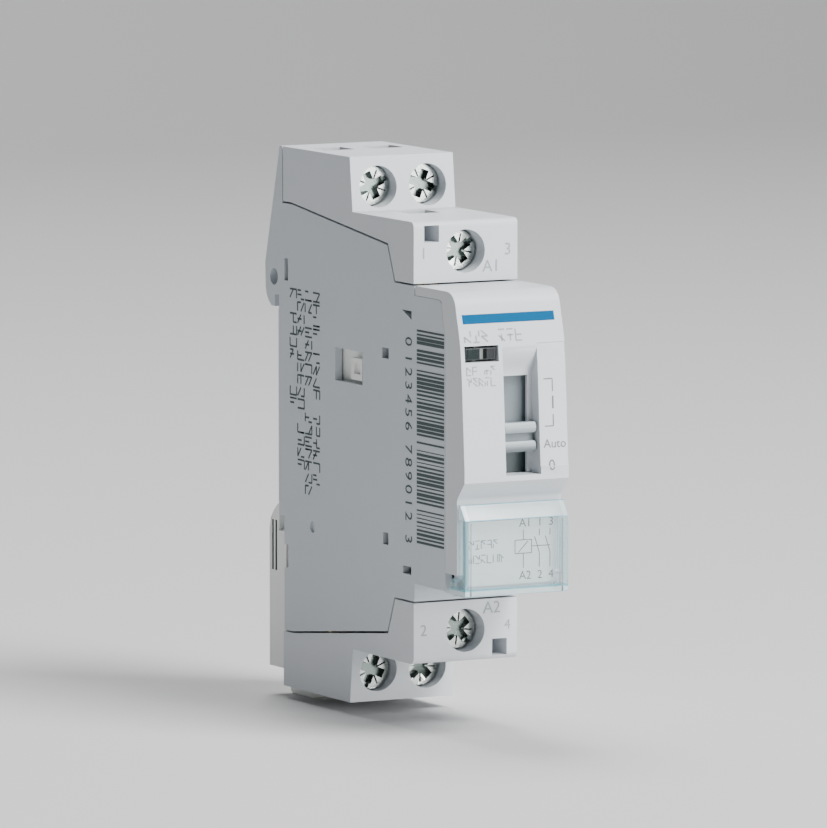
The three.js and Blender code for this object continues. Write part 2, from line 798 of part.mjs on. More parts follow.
function coilBobbin() {
  const tubeX = coreStack / 2 + partGap + bobbinWall;
  const tubeZ = centreLeg / 2 + partGap + bobbinWall;
  const tube = slab(tubeX, bobbinBack, bobbinFront, -tubeZ, tubeZ);
  const flangeAt = (d) => slab(flangeHalfWidth, d, d + flange, -flangeHalfHeight, flangeHalfHeight);
  const boreZ = tubeZ - bobbinWall;
  const bore = slab(tubeX - bobbinWall, bobbinBack - 1, bobbinFront + 1, -boreZ, boreZ);
  return cut(join(tube, flangeAt(bobbinBack), flangeAt(bobbinFront - flange)), bore);
}

function coilWinding() {
  const tubeX = coreStack / 2 + partGap + bobbinWall + 0.25;
  const tubeZ = centreLeg / 2 + partGap + bobbinWall + 0.25;
  const d0 = bobbinBack + flange + partGap;
  const d1 = bobbinFront - flange - partGap;
  const outside = slab(windingHalfWidth, d0, d1, -flangeHalfHeight + 0.4, flangeHalfHeight - 0.4);
  return cut(outside, slab(tubeX, d0 - 1, d1 + 1, -tubeZ, tubeZ));
}

function armature() {
  const plate = slab(coreStack / 2, armatureBack, armatureFront, -coreHalfHeight, coreHalfHeight);
  const pinDepth = (armatureBack + armatureFront) / 2;
  return cut(plate, rodWide(pinDepth, 0, pinRadius + partGap, -half, half, 16));
}

function armaturePin() {
  const pinDepth = (armatureBack + armatureFront) / 2;
  return rodWide(pinDepth, 0, pinRadius, -armOuter + 0.1, armOuter - 0.1, 16);
}

// ---------------------------------------------------------------- terminals

function coilTerminal() {
  const back = tongueMiddle - tongueThickness;
  const foot = returnSpringHeight + tailAbove;
  const tongue = slab(tongueWidth / 2, back, tongueMiddle, foot, middleHalfHeight - wall - 0.6);
  const tail = slab(tongueWidth / 2, back, tongueMiddle + 5, foot, foot + 0.8);
  return join(tongue, tail);
}

// A screw whose head bears on the ledge, with a cross and a slot in its head.
function terminalScrew(x, z, ledge) {
  const headBack = ledge + screwLedge + partGap;
  const headFront = headBack + screwHeadDepth;
  const head = rodDeep(x, z, screwHead / 2, headBack, headFront, 32);
  const shank = rodDeep(x, z, screwShank / 2, headFront - screwLength, headBack + 0.5, 20);
  const arm = (reachX, reachZ) => (
    slab(reachX, headFront - crossDepth, headFront + 1, z - reachZ, z + reachZ, x)
  );
  return cut(join(head, shank), arm(crossReach, crossWidth / 2), arm(crossWidth / 2, crossReach));
}

// The clamp round the tongue: it rides forward on the screw and pinches the wire.
function terminalCage(x, z, tongueFace) {
  const halfWidth = tongueWidth / 2 + partGap + cageWall;
  const front = tongueFace + partGap + cagePlate;
  const back = tongueFace - tongueThickness - wireSpace - cagePlate;
  const z0 = z - cageLength / 2;
  const z1 = z + cageLength / 2;
  const body = slab(halfWidth, back, front, z0, z1, x);
  const window = slab(halfWidth - cageWall, back + cagePlate, front - cagePlate, z0 - 1, z1 + 1, x);
  const thread = rodDeep(x, z, screwShank / 2 + shankPlay, front - cagePlate - 0.5, front + 1, 20);
  return cut(body, window, thread);
}

// ---------------------------------------------------------------- finishes

function plastic(color, roughness = 0.55) {
  return new THREE.MeshStandardMaterial({ color, roughness, metalness: 0 });
}

function metal(color, roughness = 0.35) {
  return new THREE.MeshStandardMaterial({ color, roughness, metalness: 1 });
}

const housingGrey = plastic(0xd3d6d8);
const coverGrey = plastic(0xd9dbdd);
const naturalWhite = plastic(0xe9e8e2, 0.5);
const knobGrey = plastic(0x8b9aa4);
const insideBlack = plastic(0x2b2d30);
const clearPlastic = new THREE.MeshStandardMaterial({
  color: 0xcfe6ee, roughness: 0.08, metalness: 0, transparent: true, opacity: 0.35,
});
const smokedPlastic = plastic(0x23292c, 0.12);
const flagOrange = plastic(0xd9d4c6, 0.5);
const cardWhite = plastic(0xdfe5e6, 0.7);
const zinc = metal(0xc2c6c6, 0.3);
const silver = metal(0xd9d7cf, 0.25);
const copper = metal(0xb87248, 0.35);
const brass = metal(0xb7995c, 0.4);
const magnetSteel = metal(0x74777b, 0.5);
const springSteel = metal(0x9b9ea3, 0.3);
const enamelledWire = metal(0x9c4a22, 0.35);

// ---------------------------------------------------------------- assembly

const contactor = new THREE.Group();

function place(name, shape, material, flipped = false) {
  const geometry = shape.isBufferGeometry ? shape : geometryOf(shape);
  const mesh = new THREE.Mesh(geometry, material);
  mesh.name = name;
  if (flipped) mesh.rotation.y = Math.PI;
  contactor.add(mesh);
}

place('casing', casing(), housingGrey);
place('front_cap', frontCap(), housingGrey);
place('upper_terminal_cover', terminalCover(), coverGrey);
place('lower_terminal_cover', terminalCover(), coverGrey, true);
place('contact_frame', contactFrame(), insideBlack);
place('rail_clip', railClip(), naturalWhite);
place('label_window', labelWindow(), clearPlastic);
place('label_card', labelCard(), cardWhite);
place('selector_slide', selectorSlide(), knobGrey);
place('indicator_lens', indicatorLens(), smokedPlastic);
place('indicator_flag', indicatorFlag(), flagOrange);

place('contact_carrier', contactCarrier(), naturalWhite);
place('armature', armature(), magnetSteel);
place('armature_pin', armaturePin(), springSteel);
place('magnet_core', magnetCore(), magnetSteel);
place('shading_ring_upper', shadingRing(), copper);
place('shading_ring_lower', shadingRing(), copper, true);
place('coil_bobbin', coilBobbin(), insideBlack);
place('coil_winding', coilWinding(), enamelledWire);

const returnSpringFront = plateBack - partGap;
const returnSpringBack = returnSpringSeat + partGap;
const contactSpringBack = bridgeBack + bridgeThickness + partGap;
for (const [end, z] of [['upper', returnSpringHeight], ['lower', -returnSpringHeight]]) {
  const coil = spring(0, z, returnSpring, returnSpringBack, returnSpringFront, returnSpringTurns);
  place(`return_spring_${end}`, coil, springSteel);
}

for (const [side, x] of [['left', -poleOffset], ['right', poleOffset]]) {
  const front = contactSpringBack + contactSpringLength;
  place(`moving_contact_${side}`, movingContact(x), silver);
  const coil = spring(x, 0, contactSpring, contactSpringBack, front, contactSpringTurns);
  place(`contact_spring_${side}`, coil, springSteel);
}

place('fixed_contact_1', fixedContact(-poleOffset), brass);
place('fixed_contact_2', fixedContact(poleOffset), brass, true);
place('fixed_contact_3', fixedContact(poleOffset), brass);
place('fixed_contact_4', fixedContact(-poleOffset), brass, true);
place('coil_terminal_a1', coilTerminal(), brass);
place('coil_terminal_a2', coilTerminal(), brass, true);

const terminals = [
  ['1', -poleOffset, rearTerminal, ledgeRear, tongueRear, false],
  ['2', poleOffset, rearTerminal, ledgeRear, tongueRear, true],
  ['3', poleOffset, rearTerminal, ledgeRear, tongueRear, false],
  ['4', -poleOffset, rearTerminal, ledgeRear, tongueRear, true],
  ['a1', 0, middleTerminal, ledgeMiddle, tongueMiddle, false],
  ['a2', 0, middleTerminal, ledgeMiddle, tongueMiddle, true],
];
for (const [label, x, z, ledge, tongue, flipped] of terminals) {
  place(`terminal_screw_${label}`, terminalScrew(x, z, ledge), zinc, flipped);
  place(`terminal_cage_${label}`, terminalCage(x, z, tongue), zinc, flipped);
}

export default contactor;
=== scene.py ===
# %% [markdown]
# # A one-module contactor for a 35 mm rail
# The real object is a narrow box of moulded plastic parts with bright terminal screws, a small
# selector, a smoked indicator and a clear flap over its label. The imported model already holds
# every part at its true size, so this lesson adds what a mould, a press and a printer leave
# behind: rounded edges, grain, screw recesses, prints and clear plastic. It also paints highlight
# and shade into some colours: on rounded edges and creases, in the screw recesses, in the clip's
# grooves and on the selector.

# %% Load the frame
import math
import random

import bmesh
import bpy
from mathutils import Matrix, Vector
from mathutils.bvhtree import BVHTree


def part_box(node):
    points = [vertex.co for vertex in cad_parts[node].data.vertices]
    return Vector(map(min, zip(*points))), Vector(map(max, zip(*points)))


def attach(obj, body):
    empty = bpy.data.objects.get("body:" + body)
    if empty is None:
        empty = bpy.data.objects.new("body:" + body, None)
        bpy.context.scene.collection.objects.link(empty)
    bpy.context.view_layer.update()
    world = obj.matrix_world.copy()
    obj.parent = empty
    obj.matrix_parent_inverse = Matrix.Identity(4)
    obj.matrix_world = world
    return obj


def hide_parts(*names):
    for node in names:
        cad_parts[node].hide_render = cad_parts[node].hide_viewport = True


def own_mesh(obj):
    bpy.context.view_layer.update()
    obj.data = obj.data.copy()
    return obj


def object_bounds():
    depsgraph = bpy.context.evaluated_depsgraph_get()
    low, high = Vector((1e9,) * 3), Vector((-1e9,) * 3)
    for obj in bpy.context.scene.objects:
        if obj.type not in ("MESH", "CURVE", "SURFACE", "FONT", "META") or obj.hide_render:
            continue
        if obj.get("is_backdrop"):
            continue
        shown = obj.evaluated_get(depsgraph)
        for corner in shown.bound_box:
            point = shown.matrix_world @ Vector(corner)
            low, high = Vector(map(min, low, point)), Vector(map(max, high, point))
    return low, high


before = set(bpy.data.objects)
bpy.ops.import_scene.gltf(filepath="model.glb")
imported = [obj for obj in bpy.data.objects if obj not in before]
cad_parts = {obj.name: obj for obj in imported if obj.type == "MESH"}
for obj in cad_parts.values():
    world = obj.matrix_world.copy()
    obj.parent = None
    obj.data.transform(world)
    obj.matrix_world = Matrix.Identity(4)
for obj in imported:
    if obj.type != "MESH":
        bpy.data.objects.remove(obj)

MM = 0.001
cad_low, cad_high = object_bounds()
print("nodes:", len(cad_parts), "box in mm:", [round(v / MM, 1) for v in cad_high - cad_low])

# %% [markdown]
# ## Camera
# Places on this object are easiest to say as x, depth and height: depth is the distance in front
# of the rail, so it runs along -Y. The camera looks at the middle of the box from the front left,
# a little from above, and from far off with a long lens, so upright edges stay nearly parallel.

# %% Camera
def at(x, depth, z):
    return Vector((x, -depth, z)) * MM


def placed(name, data):
    """A new object in the scene that shows the given data."""
    obj = bpy.data.objects.new(name, data)
    bpy.context.scene.collection.objects.link(obj)
    return obj


def look_from(azimuth, elevation, distance, target):
    a, e = math.radians(azimuth), math.radians(elevation)
    back = Vector((math.sin(a) * math.cos(e), -math.cos(a) * math.cos(e), math.sin(e)))
    return target + back * distance


CAMERA_TARGET = at(1.11, 25.32, 2.18)
CAMERA_AZIMUTH, CAMERA_ELEVATION = -27.93, 6.30  # degrees from straight in front
CAMERA_DISTANCE = 1525.8 * MM
LENS, SENSOR = 440.2, 36  # millimetres
camera_data = bpy.data.cameras.new("camera")
camera_data.lens = LENS
camera_data.sensor_width = SENSOR
camera_data.clip_end = 50  # metres
camera = placed("camera", camera_data)
camera.location = look_from(CAMERA_AZIMUTH, CAMERA_ELEVATION, CAMERA_DISTANCE, CAMERA_TARGET)
camera.rotation_euler = (CAMERA_TARGET - camera.location).to_track_quat("-Z", "Y").to_euler()
bpy.context.scene.camera = camera
print("camera at", [round(v, 3) for v in camera.location])

# %% [markdown]
# ## Node helpers
# Materials and geometry trees are both node trees. One helper adds a node and fills its sockets,
# so that each recipe below reads as a short list of steps.

# %% Node helpers
def add(tree, kind, inputs=None, **settings):
    node = tree.nodes.new(kind)
    for key, value in settings.items():
        setattr(node, key, value)
    for key, value in (inputs or {}).items():
        socket = node.inputs[key]
        if isinstance(value, bpy.types.NodeSocket):
            tree.links.new(value, socket)
        else:
            socket.default_value = value
    return node


def maths(tree, operation, a, b=0.0):
    kind = "ShaderNodeMath"
    return add(tree, kind, {0: a, 1: b}, operation=operation).outputs[0]


def noise(tree, place, scale, detail, **more):
    inputs = {"Vector": place, "Scale": scale, "Detail": detail, **more}
    return add(tree, "ShaderNodeTexNoise", inputs).outputs["Fac"]


def shader_group(name, inputs, outputs):
    tree = bpy.data.node_groups.new(name, "ShaderNodeTree")
    for label, kind, default in inputs:
        socket = tree.interface.new_socket(label, in_out="INPUT", socket_type=kind)
        socket.default_value = default
    for label, kind in outputs:
        tree.interface.new_socket(label, in_out="OUTPUT", socket_type=kind)
    return tree, tree.nodes.new("NodeGroupInput"), tree.nodes.new("NodeGroupOutput")


FLOAT, COLOUR = "NodeSocketFloat", "NodeSocketColor"

# %% [markdown]
# ## Shared surface effects
# Every moulded part shows the same things: slow drifts of tone where the melt flowed and a fine
# spark-eroded grain. Its outer edges also get a painted highlight, and its creases painted shade.
# These are groups, built once, and each material sets its own amounts. A group here gives only
# colours and values; the shader stays outside.

# %% Moulded skin group
skin, skin_in, skin_out = shader_group(
    "moulded_skin",
    [("Colour", COLOUR, (0.6, 0.6, 0.6, 1)), ("Drift", FLOAT, 0.04), ("Grain scale", FLOAT, 3800.0),
     ("Roughness", FLOAT, 0.5), ("Rim", FLOAT, 0.0), ("Painted rim light and shade", FLOAT, 0.1)],
    [("Colour", COLOUR), ("Roughness", FLOAT), ("Height", FLOAT)],
)
place = add(skin, "ShaderNodeTexCoord").outputs["Object"]
cloud = noise(skin, place, 70.0, 3.0)
grain = noise(skin, place, skin_in.outputs["Grain scale"], 2.0, Roughness=0.6)
drift = maths(skin, "MULTIPLY", maths(skin, "SUBTRACT", cloud, 0.5), skin_in.outputs["Drift"])
# Painted highlight on outer edges (rim 1) and painted shade in creases (rim -1).
lift = maths(skin, "MULTIPLY", skin_in.outputs["Rim"], skin_in.outputs["Painted rim light and shade"])
value = maths(skin, "ADD", maths(skin, "ADD", drift, lift), 1.0)
tinted = add(
    skin, "ShaderNodeHueSaturation",
    {"Hue": 0.5, "Saturation": 1.0, "Value": value, "Fac": 1.0, "Color": skin_in.outputs["Colour"]},
).outputs["Color"]
speckle = maths(skin, "MULTIPLY", maths(skin, "SUBTRACT", grain, 0.5), 0.16)
dull = maths(skin, "SUBTRACT", skin_in.outputs["Roughness"], maths(skin, "MULTIPLY", lift, 0.5))
skin.links.new(tinted, skin_out.inputs["Colour"])
skin.links.new(maths(skin, "ADD", dull, speckle), skin_out.inputs["Roughness"])
skin.links.new(grain, skin_out.inputs["Height"])
print("group", skin.name, len(skin.nodes), "nodes")

# %% [markdown]
# Metal parts are sheared, drawn or plated. Fine lines run along one axis, and stains spread
# slowly, so this group stretches a noise along the direction of working and adds a blotch mask.

# %% Worked metal group
worked, worked_in, worked_out = shader_group(
    "worked_metal",
    [("Colour", COLOUR, (0.6, 0.6, 0.6, 1)), ("Stain colour", COLOUR, (0.3, 0.3, 0.3, 1)),
     ("Stain", FLOAT, 0.25), ("Roughness", FLOAT, 0.3), ("Line scale", FLOAT, 2600.0)],
    [("Colour", COLOUR), ("Roughness", FLOAT), ("Height", FLOAT)],
)
place = add(worked, "ShaderNodeTexCoord").outputs["Object"]
stretched = add(
    worked, "ShaderNodeMapping", {"Vector": place, "Scale": (1.0, 0.08, 1.0)},
).outputs["Vector"]
lines = noise(worked, stretched, worked_in.outputs["Line scale"], 2.0)
blotch = noise(worked, place, 420.0, 4.0)
stain = maths(worked, "MULTIPLY", blotch, worked_in.outputs["Stain"])
mixed = add(worked, "ShaderNodeMix", data_type="RGBA")
worked.links.new(stain, mixed.inputs[0])
worked.links.new(worked_in.outputs["Colour"], mixed.inputs[6])
worked.links.new(worked_in.outputs["Stain colour"], mixed.inputs[7])
uneven = maths(worked, "MULTIPLY", maths(worked, "SUBTRACT", lines, 0.5), 0.22)
worked.links.new(mixed.outputs[2], worked_out.inputs["Colour"])
roughened = maths(worked, "ADD", worked_in.outputs["Roughness"], uneven)
worked.links.new(roughened, worked_out.inputs["Roughness"])
worked.links.new(lines, worked_out.inputs["Height"])
print("group", worked.name, len(worked.nodes), "nodes")

# %% Material makers
def start_material(name):
    material = bpy.data.materials.new(name)
    material.use_nodes = True
    return material, material.node_tree, material.node_tree.nodes["Principled BSDF"]


def wear_group(tree, shader, group, inputs, bump):
    """Places a shared group, and feeds the shader with its colour, roughness and relief."""
    effect = add(tree, "ShaderNodeGroup", node_tree=group)
    for key, value in inputs.items():
        effect.inputs[key].default_value = value
    relief = add(
        tree, "ShaderNodeBump",
        {"Strength": 0.25, "Distance": bump, "Height": effect.outputs["Height"]},
    )
    tree.links.new(effect.outputs["Colour"], shader.inputs["Base Color"])
    tree.links.new(effect.outputs["Roughness"], shader.inputs["Roughness"])
    tree.links.new(relief.outputs["Normal"], shader.inputs["Normal"])
    return effect


def plastic(name, colour, roughness=0.5, drift=0.05, painted_rim_light_and_shade=0.1, bump=0.02 * MM, coat=0.0):
    material, tree, shader = start_material(name)
    effect = wear_group(
        tree, shader, skin,
        {"Colour": (*colour, 1), "Drift": drift, "Roughness": roughness, "Painted rim light and shade": painted_rim_light_and_shade},
        bump,
    )
    # The rim mark drives the painted edge highlight and crease shade of the skin group.
    rim = add(tree, "ShaderNodeAttribute", attribute_name="rim")
    tree.links.new(rim.outputs["Fac"], effect.inputs["Rim"])
    shader.inputs["Coat Weight"].default_value = coat
    return material


def metal(name, colour, stain_colour, roughness=0.3, stain=0.3, bump=0.01 * MM, line_scale=2600.0):
    material, tree, shader = start_material(name)
    wear_group(
        tree, shader, worked,
        {"Colour": (*colour, 1), "Stain colour": (*stain_colour, 1), "Stain": stain,
         "Roughness": roughness, "Line scale": line_scale}, bump,
    )
    shader.inputs["Metallic"].default_value = 1.0
    return material


# %% [markdown]
# ## Finishes
# Casing and covers are the same cool light grey. The rail clip and the drive lug stay in the
# natural off-white of the unpigmented plastic. The chassis inside is black, and the screws are
# bright zinc.

# %% Plastics and metals
# After roughness and drift comes how strong each painted edge highlight and crease shade is.
housing_grey = plastic("housing_grey", (0.545, 0.59, 0.625), 0.46, 0.07, 0.16)
cover_grey = plastic("cover_grey", (0.61, 0.64, 0.67), 0.46, 0.06, 0.16)
natural_white = plastic("natural_white", (0.86, 0.88, 0.85), 0.4, 0.07, 0.16)
chassis_black = plastic("chassis_black", (0.03, 0.031, 0.034), 0.55, 0.3, 0.5, 0.03 * MM)
flag_cream = plastic("flag_cream", (0.72, 0.71, 0.64), 0.45, 0.05)
card_white = plastic("card_white", (0.62, 0.67, 0.68), 0.7, 0.08, 0.0, 0.008 * MM)
bright_zinc = metal("bright_zinc", (0.74, 0.76, 0.74), (0.26, 0.30, 0.28), 0.22, 0.6)
bare_brass = metal("bare_brass", (0.71, 0.56, 0.29), (0.34, 0.22, 0.10), 0.3, 0.4)
silver_tip = metal("silver_tip", (0.85, 0.84, 0.80), (0.45, 0.42, 0.37), 0.28, 0.3)
bare_copper = metal("bare_copper", (0.78, 0.40, 0.26), (0.35, 0.15, 0.09), 0.28, 0.4)
drawn_spring = metal("drawn_spring", (0.50, 0.51, 0.53), (0.22, 0.22, 0.23), 0.26, 0.3)
print("materials:", len(bpy.data.materials))


# %% [markdown]
# Three finishes change over the part, and all three paint shade into the colour. The selector is
# one blue-grey moulding; its ridges keep that colour but are painted darker towards their bottom,
# and the plate behind them is painted darker as shade in the slot, darker towards its top and
# darkest below the knob, where it is a painted shadow. A screw head stays bright on its lobes,
# while its recess is painted a dark green-grey as shade. The clip's two grooves are painted dark
# as shade. All three are masks over one shader.

# %% Selector, screw and clip finishes
def blend(tree, mask, first, second):
    """Mixes two colours, or a colour with the colour of another node, by a mask."""
    mixed = add(tree, "ShaderNodeMix", data_type="RGBA")
    tree.links.new(mask, mixed.inputs[0])
    for socket, colour in ((mixed.inputs[6], first), (mixed.inputs[7], second)):
        if isinstance(colour, bpy.types.NodeSocket):
            tree.links.new(colour, socket)
        else:
            socket.default_value = (*colour, 1)
    return mixed.outputs[2]


def between(tree, value, low, high):
    """A mask that goes from 0 at low to 1 at high, in millimetres of an object coordinate."""
    inputs = {"Value": value, "From Min": low * MM, "From Max": high * MM}
    return add(tree, "ShaderNodeMapRange", inputs, interpolation_type="SMOOTHSTEP").outputs[0]


def coordinates(tree):
    place = add(tree, "ShaderNodeTexCoord").outputs["Object"]
    return add(tree, "ShaderNodeSeparateXYZ", {0: place}).outputs


def over_skin(material, make_colour):
    """Runs the shared skin's colour through a further mask before it reaches the shader."""
    tree = material.node_tree
    shader = tree.nodes["Principled BSDF"]
    own = shader.inputs["Base Color"].links[0].from_socket
    tree.links.new(make_colour(tree, own), shader.inputs["Base Color"])
    return material


def slide_painted_shade(tree, own):
    x, y, z = coordinates(tree)
    ridge = between(tree, maths(tree, "MULTIPLY", y, -1.0), 58.15, 58.75)
    foot = between(tree, maths(tree, "MULTIPLY", z, -1.0), 0.1, 0.9)
    # Painted shade: the lower ridge darker towards its bottom.
    ridge_painted_shade = blend(tree, between(tree, z, 0.1, 1.5), (0.175, 0.205, 0.22), own)
    # Painted shade: the plate in the slot, darker towards its top.
    height = between(tree, z, 2.0, 10.0)
    plate = blend(tree, height, (0.165, 0.20, 0.22), (0.125, 0.155, 0.17))
    # Painted shadow below the knob.
    shaded = blend(tree, foot, plate, (0.035, 0.058, 0.062))
    return blend(tree, ridge, shaded, ridge_painted_shade)


def recess_painted_shade(tree, own):
    recess = add(tree, "ShaderNodeAttribute", attribute_name="recess").outputs["Fac"]
    # Painted shade in the cross recess and slot: a dark green-grey over the zinc.
    return blend(tree, maths(tree, "MULTIPLY", recess, 0.85), own, (0.13, 0.165, 0.15))


def groove_painted_shade(tree, own):
    """Painted shade inside the clip's grooves, which lie this side of its flanks in a narrow band.
    """
    x, y, z = coordinates(tree)
    mask = maths(tree, "SUBTRACT", 1.0, between(tree, maths(tree, "ABSOLUTE", x), 8.0, 8.15))
    for low, high, axis in ((1.7, 1.75, y), (-24.05, -24.0, z)):
        mask = maths(tree, "MULTIPLY", mask, between(tree, axis, low, high))
    for low, high, axis in ((3.55, 3.6, y), (-16.3, -16.25, z)):
        outside = between(tree, axis, low, high)
        mask = maths(tree, "MULTIPLY", mask, maths(tree, "SUBTRACT", 1.0, outside))
    return blend(tree, mask, own, (0.06, 0.08, 0.077))


clip_white = over_skin(plastic("clip_white", (0.86, 0.88, 0.85), 0.4, 0.07, 0.16), groove_painted_shade)
slide_grey = over_skin(plastic("slide_grey", (0.36, 0.41, 0.43), 0.4, 0.08, 0.2), slide_painted_shade)
screw_zinc = over_skin(
    metal("screw_zinc", (0.56, 0.59, 0.57), (0.17, 0.20, 0.185), 0.24, 0.75), recess_painted_shade,
)

# %% [markdown]
# The magnet and its armature are stacks of stamped sheets. Their edges show as fine bands across
# the stack, which a wave texture along X draws: one band per half-millimetre sheet.

# %% Laminated steel
def laminated(name):
    material, tree, shader = start_material(name)
    place = add(tree, "ShaderNodeTexCoord").outputs["Object"]
    bands = add(
        tree, "ShaderNodeTexWave",
        {"Vector": place, "Scale": 320.0, "Distortion": 0.4, "Detail": 1.0},
        wave_type="BANDS", bands_direction="X",
    ).outputs["Fac"]
    ramp = add(tree, "ShaderNodeValToRGB", {"Fac": bands})
    ramp.color_ramp.elements[0].color = (0.14, 0.145, 0.15, 1)
    ramp.color_ramp.elements[1].color = (0.44, 0.45, 0.46, 1)
    relief = add(tree, "ShaderNodeBump", {"Strength": 0.4, "Distance": 0.03 * MM, "Height": bands})
    rough = maths(tree, "ADD", maths(tree, "MULTIPLY", bands, -0.15), 0.45)
    tree.links.new(ramp.outputs["Color"], shader.inputs["Base Color"])
    tree.links.new(rough, shader.inputs["Roughness"])
    tree.links.new(relief.outputs["Normal"], shader.inputs["Normal"])
    shader.inputs["Metallic"].default_value = 1.0
    return material


stacked_steel = laminated("stacked_steel")
wire_enamel = plastic("wire_enamel", (0.36, 0.10, 0.035), 0.22, 0.3, 0.2, 0.01 * MM, 0.6)

# %% [markdown]
# ## Clear and smoked plastic
# Real clear flaps let most light straight through and gather a cold tint where it travels
# sideways through a wall: cyan at the edges, dark in the inner creases, and milky in the thick
# bevel and foot. Alpha carries the straight-through part; the rim mark and the place on the flap
# say how much is kept. The smoked window is nearly opaque, with a paler strip where the flag
# behind it is read.

# %% Clear flap and smoked window
def glossy_clear(name, colour_of, alpha_of, roughness, coat, shine):
    material, tree, shader = start_material(name)
    axes = coordinates(tree)
    rim = add(tree, "ShaderNodeAttribute", attribute_name="rim").outputs["Fac"]
    edge = maths(tree, "MAXIMUM", rim, 0.0)
    crease = maths(tree, "MAXIMUM", maths(tree, "MULTIPLY", rim, -1.0), 0.0)
    place = add(tree, "ShaderNodeTexCoord").outputs["Object"]
    haze = maths(tree, "MULTIPLY", noise(tree, place, 420.0, 3.0), 0.08)
    tree.links.new(colour_of(tree, axes, edge, crease), shader.inputs["Base Color"])
    clouded = maths(tree, "ADD", alpha_of(tree, axes, edge, crease), haze)
    tree.links.new(clouded, shader.inputs["Alpha"])
    tree.links.new(maths(tree, "ADD", haze, roughness), shader.inputs["Roughness"])
    shader.inputs["IOR"].default_value = 1.49
    shader.inputs["Specular IOR Level"].default_value = shine
    shader.inputs["Coat Weight"].default_value = coat
    shader.inputs["Coat Roughness"].default_value = 0.04
    return material


FLAP_SIDE, FLAP_FOOT = 7.9, -20.35  # inner faces of its side walls and of its foot
FLAP_BEVEL = -9.95  # lower edge of its bevel


def flap_zones(tree, axes):
    x, y, z = axes
    side = between(tree, maths(tree, "ABSOLUTE", x), FLAP_SIDE - 0.1, FLAP_SIDE + 0.1)
    foot = between(tree, maths(tree, "MULTIPLY", z, -1.0), -FLAP_FOOT - 0.05, -FLAP_FOOT + 0.15)
    bevel = between(tree, z, FLAP_BEVEL - 0.1, FLAP_BEVEL + 0.15)
    return side, foot, bevel


def flap_lines(tree, axes):
    """Thin lines along the inner faces of the walls, where light is caught inside the plastic."""
    x, y, z = axes
    out = maths(tree, "ABSOLUTE", x)
    down = maths(tree, "MULTIPLY", z, -1.0)
    inner = maths(
        tree, "SUBTRACT", between(tree, out, 7.5, 7.62), between(tree, out, 7.78, 7.9),
    )
    foot = maths(
        tree, "SUBTRACT", between(tree, down, 20.1, 20.2), between(tree, down, 20.35, 20.45),
    )
    below = between(tree, down, 10.0, 10.4)  # the side lines stop at the bevel
    return maths(tree, "MULTIPLY", inner, below), foot


def flap_colour(tree, axes, edge, crease):
    side, foot, bevel = flap_zones(tree, axes)
    dark_line, bright_line = flap_lines(tree, axes)
    milky = maths(tree, "MAXIMUM", foot, bevel)
    tint = blend(tree, side, (0.62, 0.78, 0.81), (0.34, 0.62, 0.68))
    tint = blend(tree, milky, tint, (0.74, 0.87, 0.90))
    tint = blend(tree, bright_line, tint, (0.10, 0.50, 0.62))
    tint = blend(tree, dark_line, tint, (0.045, 0.13, 0.16))
    tint = blend(tree, edge, tint, (0.03, 0.34, 0.47))
    return blend(tree, crease, tint, (0.02, 0.075, 0.095))


def flap_alpha(tree, axes, edge, crease):
    side, foot, bevel = flap_zones(tree, axes)
    dark_line, bright_line = flap_lines(tree, axes)
    lines = maths(tree, "MAXIMUM", dark_line, bright_line)
    milky = maths(tree, "MAXIMUM", foot, bevel)
    alpha = maths(tree, "ADD", 0.08, maths(tree, "MULTIPLY", side, 0.2))
    alpha = maths(tree, "ADD", alpha, maths(tree, "MULTIPLY", milky, 0.3))
    alpha = maths(tree, "ADD", alpha, maths(tree, "MULTIPLY", lines, 0.3))
    alpha = maths(tree, "ADD", alpha, maths(tree, "MULTIPLY", edge, 0.5))
    return maths(tree, "ADD", alpha, maths(tree, "MULTIPLY", crease, 0.6))


LENS_BANDS = [  # share of the window's width, colour
    (0.0, (0.004, 0.005, 0.005)), (0.10, (0.022, 0.032, 0.031)), (0.46, (0.018, 0.026, 0.026)),
    (0.49, (0.22, 0.24, 0.235)), (0.56, (0.17, 0.19, 0.185)), (0.59, (0.001, 0.001, 0.002)),
    (0.69, (0.002, 0.002, 0.003)), (0.72, (0.04, 0.043, 0.046)), (1.0, (0.026, 0.028, 0.031)),
]


def lens_colour(tree, axes, edge, crease):
    low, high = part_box("indicator_lens")
    share = add(
        tree, "ShaderNodeMapRange", {"Value": axes[0], "From Min": low.x, "From Max": high.x},
    ).outputs[0]
    ramp = add(tree, "ShaderNodeValToRGB", {"Fac": share})
    while len(ramp.color_ramp.elements) < len(LENS_BANDS):
        ramp.color_ramp.elements.new(0.5)
    for element, (position, colour) in zip(ramp.color_ramp.elements, LENS_BANDS):
        element.position = position
        element.color = (*colour, 1)
    return blend(tree, edge, ramp.outputs["Color"], (0.07, 0.075, 0.08))


def lens_alpha(tree, axes, edge, crease):
    return maths(tree, "ADD", 0.90, maths(tree, "MULTIPLY", edge, 0.05))


clear_cold = glossy_clear("clear_cold", flap_colour, flap_alpha, 0.04, 0.6, 0.5)
smoked_dark = glossy_clear("smoked_dark", lens_colour, lens_alpha, 0.05, 0.0, 0.12)
print("see-through finishes:", clear_cold.name, smoked_dark.name)

# %% [markdown]
# ## Rounded mouldings
# No mould leaves a razor edge. Each shell is copied from its node, its flat triangles are merged
# into whole faces, and every edge with enough room beside it is rounded. Narrow steps take a
# smaller radius in a second pass. The rounded strips are marked "rim": 1 on outer edges and -1
# in creases. Most materials read that mark to paint a highlight on the edges and shade in the
# creases; the clear flap and the smoked window use it for their own tints.

